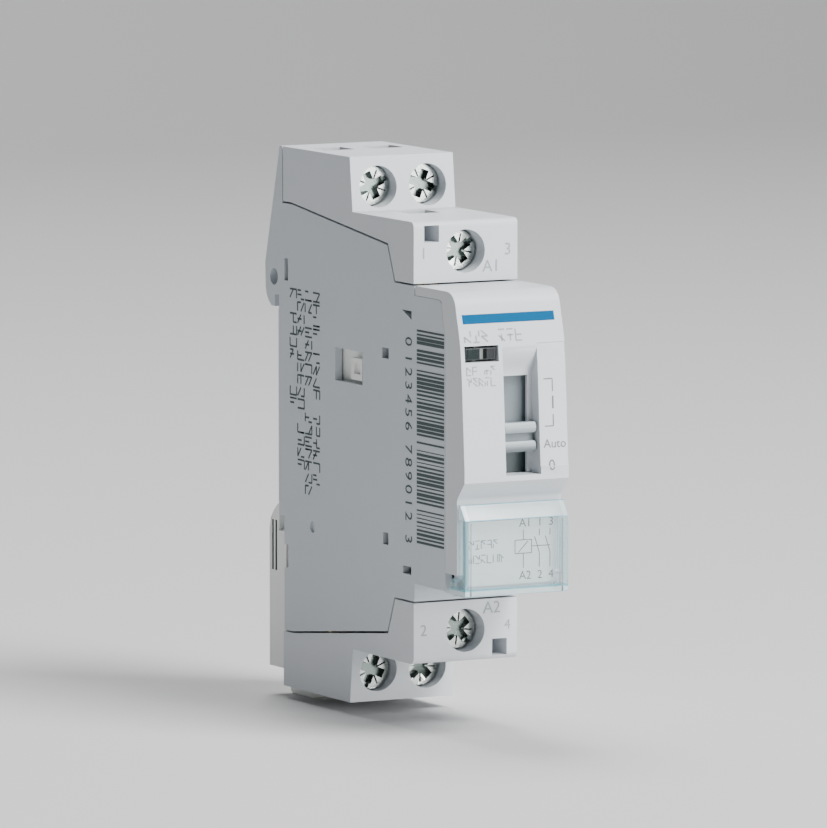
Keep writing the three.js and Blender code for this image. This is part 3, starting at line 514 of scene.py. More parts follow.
# %% Rounding helpers
SHARP = math.radians(28)  # an edge that turns further than this is rounded
SMOOTH = math.radians(40)  # an edge that turns less than this is shaded smoothly
FLAT = math.radians(0.6)  # faces that turn less than this are one face
WELD = 0.002 * MM  # points nearer than this are one point


def room_beside(edge):
    """How far the narrower of an edge's two faces reaches away from it."""
    start = edge.verts[0].co
    along = (edge.verts[1].co - start).normalized()
    reach = []
    for face in edge.link_faces:
        away = [(v.co - start) - (v.co - start).dot(along) * along for v in face.verts]
        reach.append(max(offset.length for offset in away))
    return min(reach)


def gap_to(point, segment):
    """The square of a point's distance from a segment."""
    start, end, _ = segment
    along = end - start
    share = max(0.0, min(1.0, (point - start).dot(along) / along.length_squared))
    return (point - start - along * share).length_squared


def round_edges(shape, radii, segments=3):
    rim = shape.faces.layers.float.get("rim") or shape.faces.layers.float.new("rim")
    rounded = 0
    for radius in radii:
        edges = [
            e for e in shape.edges
            if len(e.link_faces) == 2
            and e.calc_face_angle(0) > SHARP
            and not any(f[rim] for f in e.link_faces)
            and room_beside(e) > 2.5 * radius
            and e.calc_length() > 0.4 * radius
        ]
        before = [
            (e.verts[0].co.copy(), e.verts[1].co.copy(), 1.0 if e.is_convex else -1.0)
            for e in edges
        ]
        made = bmesh.ops.bevel(
            shape, geom=edges, offset=radius, offset_type="OFFSET", segments=segments,
            profile=0.5, affect="EDGES", clamp_overlap=True,
        )
        for face in made["faces"]:
            centre = face.calc_center_median()
            face[rim] = min(before, key=lambda segment: gap_to(centre, segment))[2]
        rounded += len(edges)
    return rounded


def finish_mesh(shape, name):
    """Writes a bmesh to an object whose flat faces stay flat while its rounded strips blend."""
    bmesh.ops.recalc_face_normals(shape, faces=shape.faces)
    for edge in shape.edges:
        edge.smooth = edge.calc_face_angle(0) < SMOOTH
    mesh = bpy.data.meshes.new(name)
    shape.to_mesh(mesh)
    shape.free()
    mesh.polygons.foreach_set("use_smooth", [True] * len(mesh.polygons))
    obj = placed(name, mesh)
    smooth = obj.modifiers.new("even_shading", "WEIGHTED_NORMAL")
    smooth.keep_sharp = True
    bake(obj)
    return obj


def bake(obj):
    graph = bpy.context.evaluated_depsgraph_get()
    result = bpy.data.meshes.new_from_object(obj.evaluated_get(graph), depsgraph=graph)
    obj.modifiers.clear()
    obj.data = result


def settle(obj, body, material=None, node=None):
    """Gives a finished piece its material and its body."""
    if material is not None:
        obj.data.materials.clear()
        obj.data.materials.append(material)
    if node is not None:
        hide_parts(node)
    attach(obj, body)
    return obj


def moulded(node, body, slot, material, radii, adjust=None):
    shape = bmesh.new()
    shape.from_mesh(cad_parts[node].data)
    bmesh.ops.remove_doubles(shape, verts=shape.verts, dist=WELD)
    if adjust:
        adjust(shape)
    bmesh.ops.dissolve_limit(
        shape, angle_limit=FLAT, use_dissolve_boundaries=False,
        verts=shape.verts, edges=shape.edges,
    )
    rounded = round_edges(shape, [r * MM for r in radii])
    obj = finish_mesh(shape, node + "_moulding")
    settle(obj, body, material, node)
    print(f"{obj.name}: {rounded} edges rounded, {len(obj.data.polygons)} faces")
    return obj


# %% [markdown]
# The front cap and the casing meet in a joint that is all but closed on the real object, while
# the solids keep a wider gap for their collisions. The copied skirt is drawn back to a hairline
# all round the sides, and the roof's lower face down to the casing's wall.

# %% Shells
CAP_SKIRT = 54.2  # depth of the cap's back edge in the solids
JOINT = 0.24  # how much of the 0.3 mm gap is closed
CAP_INNER = 7.5  # the roof's and skirt's side walls lie outside this
# Depth and height of the upper skirt's corners.
SKIRT_CURVE = ((53.5, 19.1), (53.0, 22.0), (52.2, 22.5))


def close_joint(shape):
    for vert in shape.verts:
        depth, height = -vert.co.y / MM, vert.co.z / MM
        if abs(depth - CAP_SKIRT) < 0.02 and height < 17.2:
            vert.co.y += JOINT * MM
        if abs(vert.co.x) / MM > CAP_INNER and depth < 53.6:
            if any(abs(depth - d) + abs(height - z) < 0.05 for d, z in SKIRT_CURVE):
                vert.co.y += JOINT * MM
            if abs(height - 22.5) < 0.02:
                vert.co.z -= JOINT * MM


casing = moulded("casing", "housing", "housing_plastic", housing_grey, (0.22, 0.08))
cap = moulded(
    "front_cap", "housing", "cover_plastic", cover_grey, (0.3, 0.12, 0.05), close_joint,
)
upper_cover, lower_cover = [
    moulded(node, "housing", "cover_plastic", cover_grey, (0.25, 0.1))
    for node in ("upper_terminal_cover", "lower_terminal_cover")
]
SMALL_SHELLS = [  # node, body, slot, material, radii in millimetres
    ("rail_clip", "clip", "natural_plastic", clip_white, (0.25, 0.1)),
    ("label_window", "window", "clear_plastic", clear_cold, (0.2, 0.1)),
    ("selector_slide", "selector", "knob_plastic", slide_grey, (0.2, 0.08)),
    ("indicator_lens", "housing", "smoked_plastic", smoked_dark, (0.15,)),
    ("contact_carrier", "carrier", "natural_plastic", natural_white, (0.15, 0.06)),
]
for shell in SMALL_SHELLS:
    moulded(*shell)

# %% [markdown]
# ## Terminal screws
# The real heads are combination heads: a wide cross recess, a straight slot across it, and four
# short ticks between the arms. All six are alike but stand at different angles, so one geometry
# tree makes them: a cylinder with its recesses cut away, then turned and placed by named inputs.

# %% Geometry tree helpers
SOCKET_KINDS = {
    "length": "NodeSocketFloat", "count": "NodeSocketInt", "place": "NodeSocketVector",
    "material": "NodeSocketMaterial",
}


def geometry_tree(name, sizes):
    tree = bpy.data.node_groups.new(name, "GeometryNodeTree")
    for label, kind in sizes:
        tree.interface.new_socket(label, in_out="INPUT", socket_type=SOCKET_KINDS[kind])
    tree.interface.new_socket("Geometry", in_out="OUTPUT", socket_type="NodeSocketGeometry")
    return tree, tree.nodes.new("NodeGroupInput"), tree.nodes.new("NodeGroupOutput")


def grown(name, tree, values):
    """Runs a tree with named values and keeps the result as a plain mesh."""
    obj = placed(name, bpy.data.meshes.new(name))
    modifier = obj.modifiers.new("grow", "NODES")
    modifier.node_group = tree
    for item in tree.interface.items_tree:
        if item.in_out == "INPUT" and item.name in values:
            modifier[item.identifier] = values[item.name]
    bake(obj)
    return obj


def xyz(tree, x=0.0, y=0.0, z=0.0):
    return add(tree, "ShaderNodeCombineXYZ", {"X": x, "Y": y, "Z": z}).outputs[0]


def moved(tree, geometry, offset=None, turn=None):
    inputs = {"Geometry": geometry}
    if offset is not None:
        inputs["Translation"] = offset
    if turn is not None:
        inputs["Rotation"] = turn
    return add(tree, "GeometryNodeTransform", inputs).outputs[0]


def finish_tree(tree, exit_node, geometry, material):
    real = add(tree, "GeometryNodeRealizeInstances", {"Geometry": geometry}).outputs[0]
    coated = add(tree, "GeometryNodeSetMaterial", {"Geometry": real, "Material": material})
    tree.links.new(coated.outputs[0], exit_node.inputs["Geometry"])


# %% Screw tree
screw_tree, given, screw_end = geometry_tree("combination_head_screw", [
    ("Head radius", "length"), ("Head depth", "length"), ("Slot width", "length"),
    ("Slot depth", "length"), ("Cross width", "length"), ("Cross span", "length"),
    ("Cross depth", "length"), ("Tick width", "length"), ("Shank radius", "length"),
    ("Shank length", "length"), ("Turn", "length"), ("Place", "place"), ("Material", "material"),
])
size = given.outputs


def bar_cutter(length, width, depth, turn):
    """A box along X that cuts as deep as depth into a face at height 0, turned about the axis."""
    box_size = xyz(screw_tree, length, width, maths(screw_tree, "MULTIPLY", depth, 2.0))
    box = add(screw_tree, "GeometryNodeMeshCube", {"Size": box_size}).outputs["Mesh"]
    return moved(screw_tree, box, turn=(0.0, 0.0, math.radians(turn)))


def round_bar(radius, length, top, sides):
    bar = add(
        screw_tree, "GeometryNodeMeshCylinder",
        {"Vertices": sides, "Radius": radius, "Depth": length},
    ).outputs["Mesh"]
    middle = maths(screw_tree, "SUBTRACT", top, maths(screw_tree, "DIVIDE", length, 2.0))
    return moved(screw_tree, bar, offset=xyz(screw_tree, z=middle))


across = maths(screw_tree, "MULTIPLY", size["Head radius"], 2.4)
tick_span = maths(screw_tree, "MULTIPLY", size["Head radius"], 1.7)
head = round_bar(size["Head radius"], size["Head depth"], 0.0, 56)
overlap = maths(screw_tree, "SUBTRACT", size["Head depth"], 0.1 * MM)
below = maths(screw_tree, "MULTIPLY", overlap, -1.0)
shank = round_bar(size["Shank radius"], size["Shank length"], below, 28)
cutters = [
    bar_cutter(across, size["Slot width"], size["Slot depth"], 0),
    bar_cutter(size["Cross span"], size["Cross width"], size["Cross depth"], 0),
    bar_cutter(size["Cross span"], size["Cross width"], size["Cross depth"], 90),
    bar_cutter(tick_span, size["Tick width"], size["Slot depth"], 45),
    bar_cutter(tick_span, size["Tick width"], size["Slot depth"], 135),
]
for cutter in cutters:
    sliced = add(screw_tree, "GeometryNodeMeshBoolean", operation="DIFFERENCE", solver="EXACT")
    screw_tree.links.new(head, sliced.inputs[0])
    screw_tree.links.new(cutter, sliced.inputs[1])
    head = sliced.outputs["Mesh"]
whole = add(screw_tree, "GeometryNodeMeshBoolean", operation="UNION", solver="EXACT")
screw_tree.links.new(shank, whole.inputs[1])
screw_tree.links.new(head, whole.inputs[1])
turned = moved(screw_tree, whole.outputs["Mesh"], turn=xyz(screw_tree, z=size["Turn"]))
faced = moved(screw_tree, turned, offset=size["Place"], turn=(math.radians(90), 0.0, 0.0))
finish_tree(screw_tree, screw_end, faced, size["Material"])
print("tree", screw_tree.name, len(screw_tree.nodes), "nodes")

# %% Six screws
HEAD_DEPTH = 1.3 * MM
# Degrees, as tightened by hand.
SCREW_TURNS = {"1": 24, "2": 68, "3": -20, "4": 41, "a1": 33, "a2": -52}


def make_screw(key, degrees):
    node = "terminal_screw_" + key
    low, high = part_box(node)
    centre = (low + high) / 2
    face = Vector((centre.x, low.y, centre.z))
    radius = (high.x - low.x) / 2
    obj = grown(node + "_head", screw_tree, {
        "Head radius": radius, "Head depth": HEAD_DEPTH,
        "Slot width": 0.8 * MM, "Slot depth": 0.6 * MM, "Tick width": 0.26 * MM,
        "Cross width": 1.35 * MM, "Cross span": 4.3 * MM, "Cross depth": 1.05 * MM,
        "Shank radius": 1.75 * MM, "Shank length": high.y - low.y - HEAD_DEPTH,
        "Turn": math.radians(degrees), "Place": face, "Material": screw_zinc,
    })
    shape = bmesh.new()
    shape.from_mesh(obj.data)
    bpy.data.objects.remove(obj)
    bmesh.ops.remove_doubles(shape, verts=shape.verts, dist=WELD)
    bmesh.ops.dissolve_limit(shape, angle_limit=FLAT, verts=shape.verts, edges=shape.edges)
    round_edges(shape, (0.12 * MM, 0.05 * MM), 2)
    recess = shape.faces.layers.float.new("recess")
    for part in shape.faces:
        middle = part.calc_center_median()
        sunk = middle.y - face.y
        apart = math.hypot(middle.x - face.x, middle.z - face.z)
        part[recess] = float(0.3 * MM < sunk < HEAD_DEPTH - 0.1 * MM and apart < 0.93 * radius)
    return settle(finish_mesh(shape, node + "_turned"), "screw_" + key, screw_zinc, node)


screws = [make_screw(key, degrees) for key, degrees in SCREW_TURNS.items()]
print("screws:", [(s.name, len(s.data.polygons)) for s in screws])

# %% [markdown]
# ## Coil wire
# The winding is hundreds of turns of enamelled wire. Only the outer layer shows, so a tree lays
# one rounded loop of wire after another along the bobbin, just proud of the solid core that stays
# below.

# %% Coil turns
coil_tree, given, coil_end = geometry_tree("wire_layer", [
    ("Width", "length"), ("Height", "length"), ("Corner", "length"), ("Wire radius", "length"),
    ("Turns", "count"), ("Pitch", "place"), ("Place", "place"), ("Material", "material"),
])
loop = add(
    coil_tree, "GeometryNodeCurvePrimitiveQuadrilateral",
    {"Width": given.outputs["Width"], "Height": given.outputs["Height"]},
).outputs["Curve"]
fillet = add(coil_tree, "GeometryNodeFilletCurve", mode="POLY")
coil_tree.links.new(loop, fillet.inputs["Curve"])
coil_tree.links.new(given.outputs["Corner"], fillet.inputs["Radius"])
fillet.inputs["Count"].default_value = 4
round_wire = add(
    coil_tree, "GeometryNodeCurvePrimitiveCircle",
    {"Resolution": 6, "Radius": given.outputs["Wire radius"]},
).outputs["Curve"]
tube = add(
    coil_tree, "GeometryNodeCurveToMesh", {"Curve": fillet.outputs[0], "Profile Curve": round_wire},
).outputs["Mesh"]
upright = moved(coil_tree, tube, turn=(math.radians(90), 0.0, 0.0))
row = add(
    coil_tree, "GeometryNodeMeshLine",
    {"Count": given.outputs["Turns"], "Start Location": given.outputs["Place"],
     "Offset": given.outputs["Pitch"]},
).outputs["Mesh"]
stacked = add(coil_tree, "GeometryNodeInstanceOnPoints", {"Points": row, "Instance": upright})
finish_tree(coil_tree, coil_end, stacked.outputs[0], given.outputs["Material"])

wire = 0.16 * MM
low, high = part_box("coil_winding")
span = high.y - low.y - 2 * wire
turn_count = int(span / (2 * wire))
winding = grown("coil_wire_layer", coil_tree, {
    "Width": high.x - low.x - wire, "Height": high.z - low.z - wire, "Corner": 0.5 * MM,
    "Wire radius": wire, "Turns": turn_count, "Pitch": Vector((0, span / (turn_count - 1), 0)),
    "Place": Vector(((low.x + high.x) / 2, low.y + wire, (low.z + high.z) / 2)),
    "Material": wire_enamel,
})
winding.data.polygons.foreach_set("use_smooth", [True] * len(winding.data.polygons))
settle(winding, "housing")
print("coil turns:", turn_count, "faces:", len(winding.data.polygons))

# %% [markdown]
# ## Prints
# Ink sits a few hundredths of a millimetre proud of the plastic. Each mark is made flat, then
# laid on the piece below it: every point is dropped along the view direction until it meets the
# surface, so marks on the bowed nose follow its curve. All marks here are plain ones: terminal
# numbers, the places of the selector, and patterns that mean nothing.

# %% Inks and the laying helper
def ink(name, colour, roughness=0.55):
    material, tree, shader = start_material(name)
    place = add(tree, "ShaderNodeTexCoord").outputs["Object"]
    specks = noise(tree, place, 5200.0, 2.0)
    ramp = add(tree, "ShaderNodeValToRGB", {"Fac": specks})
    ramp.color_ramp.elements[0].color = (*colour, 1)
    ramp.color_ramp.elements[1].color = (*[c * 1.3 for c in colour], 1)
    tree.links.new(ramp.outputs["Color"], shader.inputs["Base Color"])
    rough = maths(tree, "ADD", maths(tree, "MULTIPLY", specks, 0.15), roughness)
    tree.links.new(rough, shader.inputs["Roughness"])
    shader.inputs["Specular IOR Level"].default_value = 0.08
    return material


grey_ink = ink("grey_ink", (0.17, 0.185, 0.195))
pale_ink = ink("pale_ink", (0.30, 0.325, 0.34))
dark_ink = ink("dark_ink", (0.075, 0.085, 0.09))
side_ink = ink("side_ink", (0.07, 0.092, 0.092))
blue_ink = ink("blue_ink", (0.0, 0.085, 0.2), 0.6)

INK_LIFT = 0.015 * MM
INK_THICK = 0.02 * MM
LAY_REACH = 2.2 * MM  # a surface further away than this isn't the one that is printed on
FRONT = Matrix(((1, 0, 0), (0, 0, -1), (0, 1, 0)))  # text right is +X, text up is +Z, facing -Y
SIDE = Matrix(((0, 0, -1), (0, -1, 0), (-1, 0, 0)))  # text runs down, its top points to the front


def surface_of(obj):
    shape = bmesh.new()
    shape.from_mesh(obj.data)
    tree = BVHTree.FromBMesh(shape)
    shape.free()
    return tree


surfaces = {}


def lay_on(obj, under, facing, start):
    """Turns a flat mesh to its facing, moves it to start, and drops it on the piece under it."""
    if under.name not in surfaces:
        surfaces[under.name] = surface_of(under)
    outward = facing @ Vector((0, 0, 1))
    for vert in obj.data.vertices:
        level = vert.co.z
        point = facing @ Vector((vert.co.x, vert.co.y, 0)) + start
        hit = surfaces[under.name].ray_cast(point + outward * 0.05, -outward)
        if hit[0] is not None and abs((hit[0] - point).dot(outward)) < LAY_REACH:
            point = hit[0]
        vert.co = point + outward * (INK_LIFT + level)
    obj.data.update()
    return obj


def lettering(name, words, height, under, facing, centre, material, spacing=1.0):
    curve = bpy.data.curves.new(name, "FONT")
    curve.body = words
    curve.size = height * MM / 0.7  # the face's capitals are 0.7 of its size
    curve.align_x = "CENTER"
    curve.align_y = "CENTER"
    curve.resolution_u = 3
    curve.space_character = spacing
    curve.extrude = INK_THICK / 2
    maker = placed(name + "_type", curve)
    graph = bpy.context.evaluated_depsgraph_get()
    mesh = bpy.data.meshes.new_from_object(maker.evaluated_get(graph), depsgraph=graph)
    bpy.data.objects.remove(maker)
    for vert in mesh.vertices:
        vert.co.z += INK_THICK / 2
    obj = placed(name, mesh)
    lay_on(obj, under, facing, centre)
    return settle(obj, "housing", material)


def strokes(name, lines, width, under, facing, start, material):
    """Thin straight bars between pairs of points in millimetres."""
    shape = bmesh.new()
    for (u0, v0), (u1, v1) in lines:
        a, b = Vector((u0, v0, 0)) * MM, Vector((u1, v1, 0)) * MM
        side = Vector((-(b - a).y, (b - a).x, 0)).normalized() * width * MM / 2
        up = Vector((0, 0, INK_THICK))
        first, second = [
            [shape.verts.new(c) for c in (end - side, end + side, end + side + up, end - side + up)]
            for end in (a, b)
        ]
        for i in range(4):
            j = (i + 1) % 4
            shape.faces.new((first[i], second[i], second[j], first[j]))
        shape.faces.new(first)
        shape.faces.new(reversed(second))
    bmesh.ops.recalc_face_normals(shape, faces=shape.faces)
    mesh = bpy.data.meshes.new(name)
    shape.to_mesh(mesh)
    shape.free()
    obj = placed(name, mesh)
    lay_on(obj, under, facing, start)
    return settle(obj, "housing", material)


# %% Terminal numbers
LEFT_FACE = -8.75  # x of the casing's left side
COVER_DEPTH, NOSE_DEPTH, CARD_DEPTH = 44, 58, 58.2  # near the faces that are printed on
TERMINAL_MARKS = [  # name, words, height, piece under it, x, z
    ("mark_1", "1", 1.7, upper_cover, -7.1, 28.3), ("mark_a1", "A1", 1.8, upper_cover, 4.3, 26.0),
    ("mark_3", "3", 1.8, upper_cover, 7.1, 28.4), ("mark_2", "2", 1.7, lower_cover, -7.1, -28.15),
    ("mark_a2", "A2", 1.8, lower_cover, 4.45, -25.3), ("mark_4", "4", 1.5, lower_cover, 7.1, -28.0),
]
for name, words, height, under, x, z in TERMINAL_MARKS:
    lettering(
        name, words, height, under, FRONT, at(x, COVER_DEPTH, z), pale_ink,
    )
print("terminal marks:", len(TERMINAL_MARKS))

# %% Marks on the nose
strokes(
    "nose_stripe", [((-7.9, 0), (7.5, 0))], 1.35, cap, FRONT, at(0, NOSE_DEPTH, 19.75), blue_ink,
)
strokes(
    "selector_bracket", [((5.0, 10.5), (6.45, 10.5)), ((6.45, 10.5), (6.45, 8.6)),
                         ((6.45, 5.2), (6.45, 3.5)), ((6.45, 3.5), (5.0, 3.5))],
    0.16, cap, FRONT, at(0, NOSE_DEPTH, 0), grey_ink,
)
PLACES = [("1", 1.9, 6.45, 6.9), ("Auto", 1.3, 6.6, 0.85), ("0", 1.6, 6.0, -2.35)]
for words, height, x, z in PLACES:
    spot = at(x, NOSE_DEPTH, z)
    lettering(
        "place_" + words.lower(), words, height, cap, FRONT, spot, grey_ink,
    )
print("selector places:", len(PLACES))

# %% [markdown]
# The bar pattern is a row of one thin box with a random width, so a geometry tree with a fixed
# seed lays it. It encodes nothing, and the digits beside it only count. Rating texts become
# glyphs that mean nothing: each picks a few strokes of a small grid, as many as letters have.

# %% Bar tree
bar_tree, given, bars_end = geometry_tree("printed_bars", [
    ("Count", "count"), ("Pitch", "place"), ("Box", "place"), ("Least", "place"), ("Most", "place"),
    ("Share", "length"), ("Seed", "count"), ("Material", "material"),
])
put = given.outputs
line = add(
    bar_tree, "GeometryNodeMeshLine", {"Count": put["Count"], "Offset": put["Pitch"]},
).outputs["Mesh"]
chance = add(bar_tree, "FunctionNodeRandomValue", data_type="FLOAT")
bar_tree.links.new(put["Seed"], chance.inputs["Seed"])
inked = maths(bar_tree, "LESS_THAN", chance.outputs[1], put["Share"])
stretch = add(bar_tree, "FunctionNodeRandomValue", data_type="FLOAT_VECTOR")
for socket, label in ((0, "Least"), (1, "Most"), ("Seed", "Seed")):
    bar_tree.links.new(put[label], stretch.inputs[socket])
box = add(bar_tree, "GeometryNodeMeshCube", {"Size": put["Box"]}).outputs["Mesh"]
printed = add(
    bar_tree, "GeometryNodeInstanceOnPoints",
    {"Points": line, "Instance": box, "Scale": stretch.outputs[0], "Selection": inked},
).outputs[0]
raised = moved(bar_tree, printed, offset=(0.0, 0.0, INK_THICK / 2))
finish_tree(bar_tree, bars_end, raised, put["Material"])

# %% Bars and digits on the side
BAR_COUNT, BAR_RUN = 54, 32.2  # bars, and the millimetres they spread over
BAR_WIDTH, BAR_LENGTH = 0.40, 8.6
bars = grown("side_bars", bar_tree, {
    "Count": BAR_COUNT, "Pitch": (BAR_RUN / BAR_COUNT * MM, 0.0, 0.0),
    "Box": (BAR_WIDTH * MM, BAR_LENGTH * MM, INK_THICK),
    "Least": (0.35, 1.0, 1.0), "Most": (1.35, 1.0, 1.0),
    "Share": 0.88, "Seed": 7, "Material": side_ink,
})
lay_on(bars, casing, SIDE, at(LEFT_FACE, 49.3, 17.1))
settle(bars, "housing")
DIGITS = [("0", 15.2), ("123456", 7.6), ("789012", -5.9), ("3", -14.4)]  # digits, height of middle
for number, (words, z) in enumerate(DIGITS):
    lettering(
        f"side_digits_{number + 1}", words, 2.1, casing, SIDE, at(LEFT_FACE, 42.3, z), side_ink,
        spacing=1.35,
    )
print("bars:", len(bars.data.polygons) // 6, "digit groups:", len(DIGITS))

# %% Glyph rows
GLYPH_STROKES = [  # pairs of grid points: across 0 to 1, up 0 to 1
    ((0, 0), (0, 1)), ((1, 0), (1, 1)), ((0, 0), (0, 0.5)), ((1, 0.5), (1, 1)), ((0, 0), (1, 0)),
    ((0, 1), (1, 1)), ((0, 0.5), (1, 0.5)), ((0, 1), (1, 0.5)), ((0, 0.5), (1, 0)),
    ((0.5, 0), (0.5, 0.6)),
]
GLYPH_PARTS = 3  # strokes in each glyph
GLYPH_LINE = 0.13  # width of a stroke, as a share of the glyph's height
SIDE_SEED, NOSE_SEED, CARD_SEED = 31, 51, 61


def glyph_row(
    name, count, height, under, facing, start, material, seed, gaps=(), width=0.6,
):
    """A row of strokes that look like lettering from afar and say nothing."""
    dice = random.Random(seed)
    across, pitch = height * width, height * (width + 0.24)
    lines = []
    for place in range(count):
        if place in gaps:
            continue
        for (u0, v0), (u1, v1) in dice.sample(GLYPH_STROKES, GLYPH_PARTS):
            shift = place * pitch
            lines.append(((u0 * across + shift, v0 * height), (u1 * across + shift, v1 * height)))
    return strokes(name, lines, height * GLYPH_LINE, under, facing, start, material)


# Depth, top, number of glyphs, height, and which places stay empty.
SIDE_ROWS = [(11.7, 19.8, 16, 2.15, (4, 9)), (9.1, 19.8, 17, 2.15, (2, 8, 9)),
             (6.6, 19.8, 15, 2.15, (4, 10)), (4.1, 19.8, 10, 2.15, (1, 6, 7))]
for number, (depth, top, count, height, gaps) in enumerate(SIDE_ROWS):
    glyph_row(
        f"side_rating_{number + 1}", count, height, casing, SIDE,
        at(LEFT_FACE, depth - 0.2, top), side_ink, SIDE_SEED + number, gaps, 0.62,
    )
NOSE_ROWS = [("nose_rating_1", 7, 1.7, 16.4, (3,)), ("nose_rating_2", 5, 1.2, 11.6, (2,)),
             ("nose_rating_3", 5, 1.2, 9.95, ())]
for number, (name, count, height, z, gaps) in enumerate(NOSE_ROWS):
    glyph_row(
        name, count, height, cap, FRONT, at(-7.9, NOSE_DEPTH, z), pale_ink,
        NOSE_SEED + number, gaps,
    )
print("glyph rows:", len(SIDE_ROWS) + len(NOSE_ROWS))

# %% Label card
card_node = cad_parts["label_card"]
card_node.data.materials.clear()
card_node.data.materials.append(card_white)
for name, words, z in (("top", "A1  1  3", -10.9), ("bottom", "A2  2  4", -18.75)):
    spot = at(4.3, CARD_DEPTH, z)
    lettering(f"card_{name}_row", words, 1.25, card_node, FRONT, spot, dark_ink)
CIRCUIT = [
    ((2.1, -11.9), (2.1, -13.4)), ((2.1, -15.4), (2.1, -17.6)),
    ((0.7, -13.4), (3.5, -13.4)), ((3.5, -13.4), (3.5, -15.4)),
    ((3.5, -15.4), (0.7, -15.4)), ((0.7, -15.4), (0.7, -13.4)),
    ((1.3, -15.2), (2.9, -13.6)), ((3.5, -14.4), (6.6, -14.4)),
    ((4.8, -11.9), (4.8, -12.9)), ((4.0, -13.0), (4.8, -15.4)), ((4.8, -15.4), (4.8, -17.6)),
    ((6.6, -11.9), (6.6, -12.9)), ((5.8, -13.0), (6.6, -15.4)), ((6.6, -15.4), (6.6, -17.6)),
]
strokes("card_circuit", CIRCUIT, 0.13, card_node, FRONT, at(0, CARD_DEPTH, 0), dark_ink)
for number, (z, count) in enumerate([(-14.35, 5), (-16.5, 6)]):
    glyph_row(
        f"card_rating_{number + 1}", count, 1.2, card_node, FRONT,
        at(-7.0, CARD_DEPTH, z), grey_ink, CARD_SEED + number,
    )

# %% [markdown]
# ## Return springs
# Two springs push the contact carrier back out. A rigid coil would be cut through when the
# carrier comes in; here each is a welded, smoothly shaded copy of its solid in spring steel, kept
# on the housing with a mesh of its own.


def closing_spring(node):
    shape = bmesh.new()
    shape.from_mesh(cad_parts[node].data)
    bmesh.ops.remove_doubles(shape, verts=shape.verts, dist=WELD)
    coil = settle(finish_mesh(shape, node + "_coil"), "housing", drawn_spring, node)
    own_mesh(coil)


for end in ("upper", "lower"):
    closing_spring("return_spring_" + end)

# %% [markdown]
# ## Parts that keep their shape
# The pressed and turned parts inside are right as they come, and only need the finish of their
# metal or plastic. Each node gets its material by the start of its name.

# %% Finishes of the inner parts
INNER = {
    "contact_frame": chassis_black, "coil_bobbin": chassis_black, "coil_winding": wire_enamel,
    "magnet_core": stacked_steel, "armature": stacked_steel, "armature_pin": drawn_spring,
    "shading_ring": bare_copper, "contact_spring": drawn_spring,
    "fixed_contact": bare_brass, "moving_contact": silver_tip, "coil_terminal": bare_brass,
    "terminal_cage": bright_zinc, "indicator_flag": flag_cream,
}
dressed = 0
for node_name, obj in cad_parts.items():
    match = [finish for start, finish in INNER.items() if node_name.startswith(start)]
    if match:
        obj.data.materials.clear()
        obj.data.materials.append(match[-1] if node_name == "armature_pin" else match[0])
        dressed += 1
print("inner parts dressed:", dressed)

# %% [markdown]
# ## Floor and light
# A plain pale sweep stands in for a studio table, and the clip's foot just meets it. One large
# soft light comes from the front right and above, so that front and top are bright and the long
# left side falls about a stop darker. A low one evens out the front; weaker ones fill the left
# and the back.

# %% Floor sweep
FLOOR_Z = cad_low.z - 0.05 * MM


FLOOR_FRONT, FLOOR_BACK, FLOOR_HALF = -1.6, 1.4, 3.0  # metres
SWEEP_RADIUS, SWEEP_HEIGHT, SWEEP_STEPS = 0.5, 2.2, 12


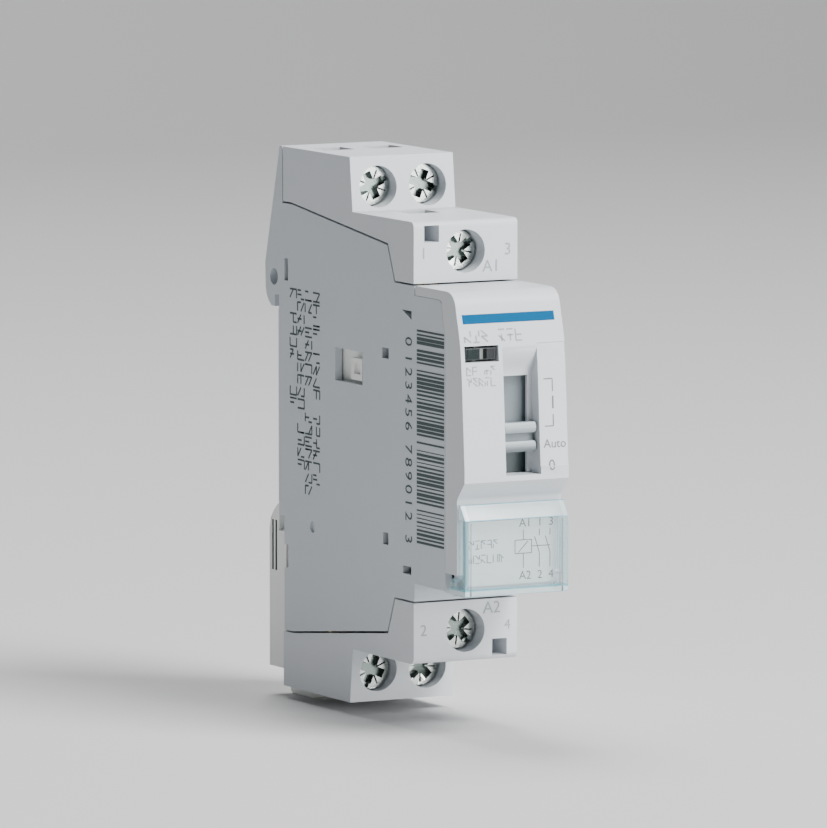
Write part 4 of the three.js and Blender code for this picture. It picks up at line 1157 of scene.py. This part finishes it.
def make_floor():
    """Flat in front, then a quarter turn up into a wall."""
    foot = FLOOR_BACK - SWEEP_RADIUS
    profile = [(FLOOR_FRONT, 0.0), (foot, 0.0)]
    for step in range(1, SWEEP_STEPS + 1):
        angle = step / SWEEP_STEPS * math.pi / 2
        rise = SWEEP_RADIUS - SWEEP_RADIUS * math.cos(angle)
        profile.append((foot + SWEEP_RADIUS * math.sin(angle), rise))
    profile.append((FLOOR_BACK, SWEEP_HEIGHT))
    shape = bmesh.new()
    left = [shape.verts.new((-FLOOR_HALF, y, FLOOR_Z + z)) for y, z in profile]
    right = [shape.verts.new((FLOOR_HALF, y, FLOOR_Z + z)) for y, z in profile]
    for i in range(len(profile) - 1):
        shape.faces.new((left[i], right[i], right[i + 1], left[i + 1]))
    mesh = bpy.data.meshes.new("floor_sweep")
    shape.to_mesh(mesh)
    shape.free()
    mesh.polygons.foreach_set("use_smooth", [True] * len(mesh.polygons))
    obj = placed("floor_sweep", mesh)
    mesh.materials.append(plastic("floor_paper", (0.58, 0.58, 0.58), 0.8, 0.01, 0.0))
    obj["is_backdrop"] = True
    print("floor at", round(FLOOR_Z / MM, 2), "mm")


make_floor()

# %% Lights
WHITE, SKY = (1, 1, 1), (0.86, 0.94, 1.0)
LIGHTS = [  # name, azimuth, elevation, distance and size in metres, watts, tint
    ("key_light", 28, 48, 1.1, 0.5, 21, WHITE),
    ("front_light", 32, 3, 1.3, 0.6, 18, WHITE),
    ("left_fill", -84, 14, 1.2, 0.9, 0.4, SKY),
    ("back_light", 168, 66, 1.2, 0.5, 12, WHITE),
]


def soft_light(name, azimuth, elevation, distance, size, watts, tint):
    data = bpy.data.lights.new(name, "AREA")
    data.size = size
    data.energy = watts
    data.color = tint
    obj = placed(name, data)
    centre = (cad_low + cad_high) / 2
    obj.location = look_from(azimuth, elevation, distance, centre)
    obj.rotation_euler = (centre - obj.location).to_track_quat("-Z", "Y").to_euler()


for light in LIGHTS:
    soft_light(*light)
world = bpy.data.worlds.new("studio_air")
bpy.context.scene.world = world
world.use_nodes = True
air = world.node_tree.nodes["Background"]
air.inputs["Color"].default_value = (0.93, 0.95, 1.0, 1)
air.inputs["Strength"].default_value = 0.13
print("lights:", len(LIGHTS))

seen_low, seen_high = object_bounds()
box = {"cad": [list(cad_low), list(cad_high)], "visual": [list(seen_low), list(seen_high)]}
print("visual box in mm:", [round(v / MM, 2) for v in seen_high - seen_low])
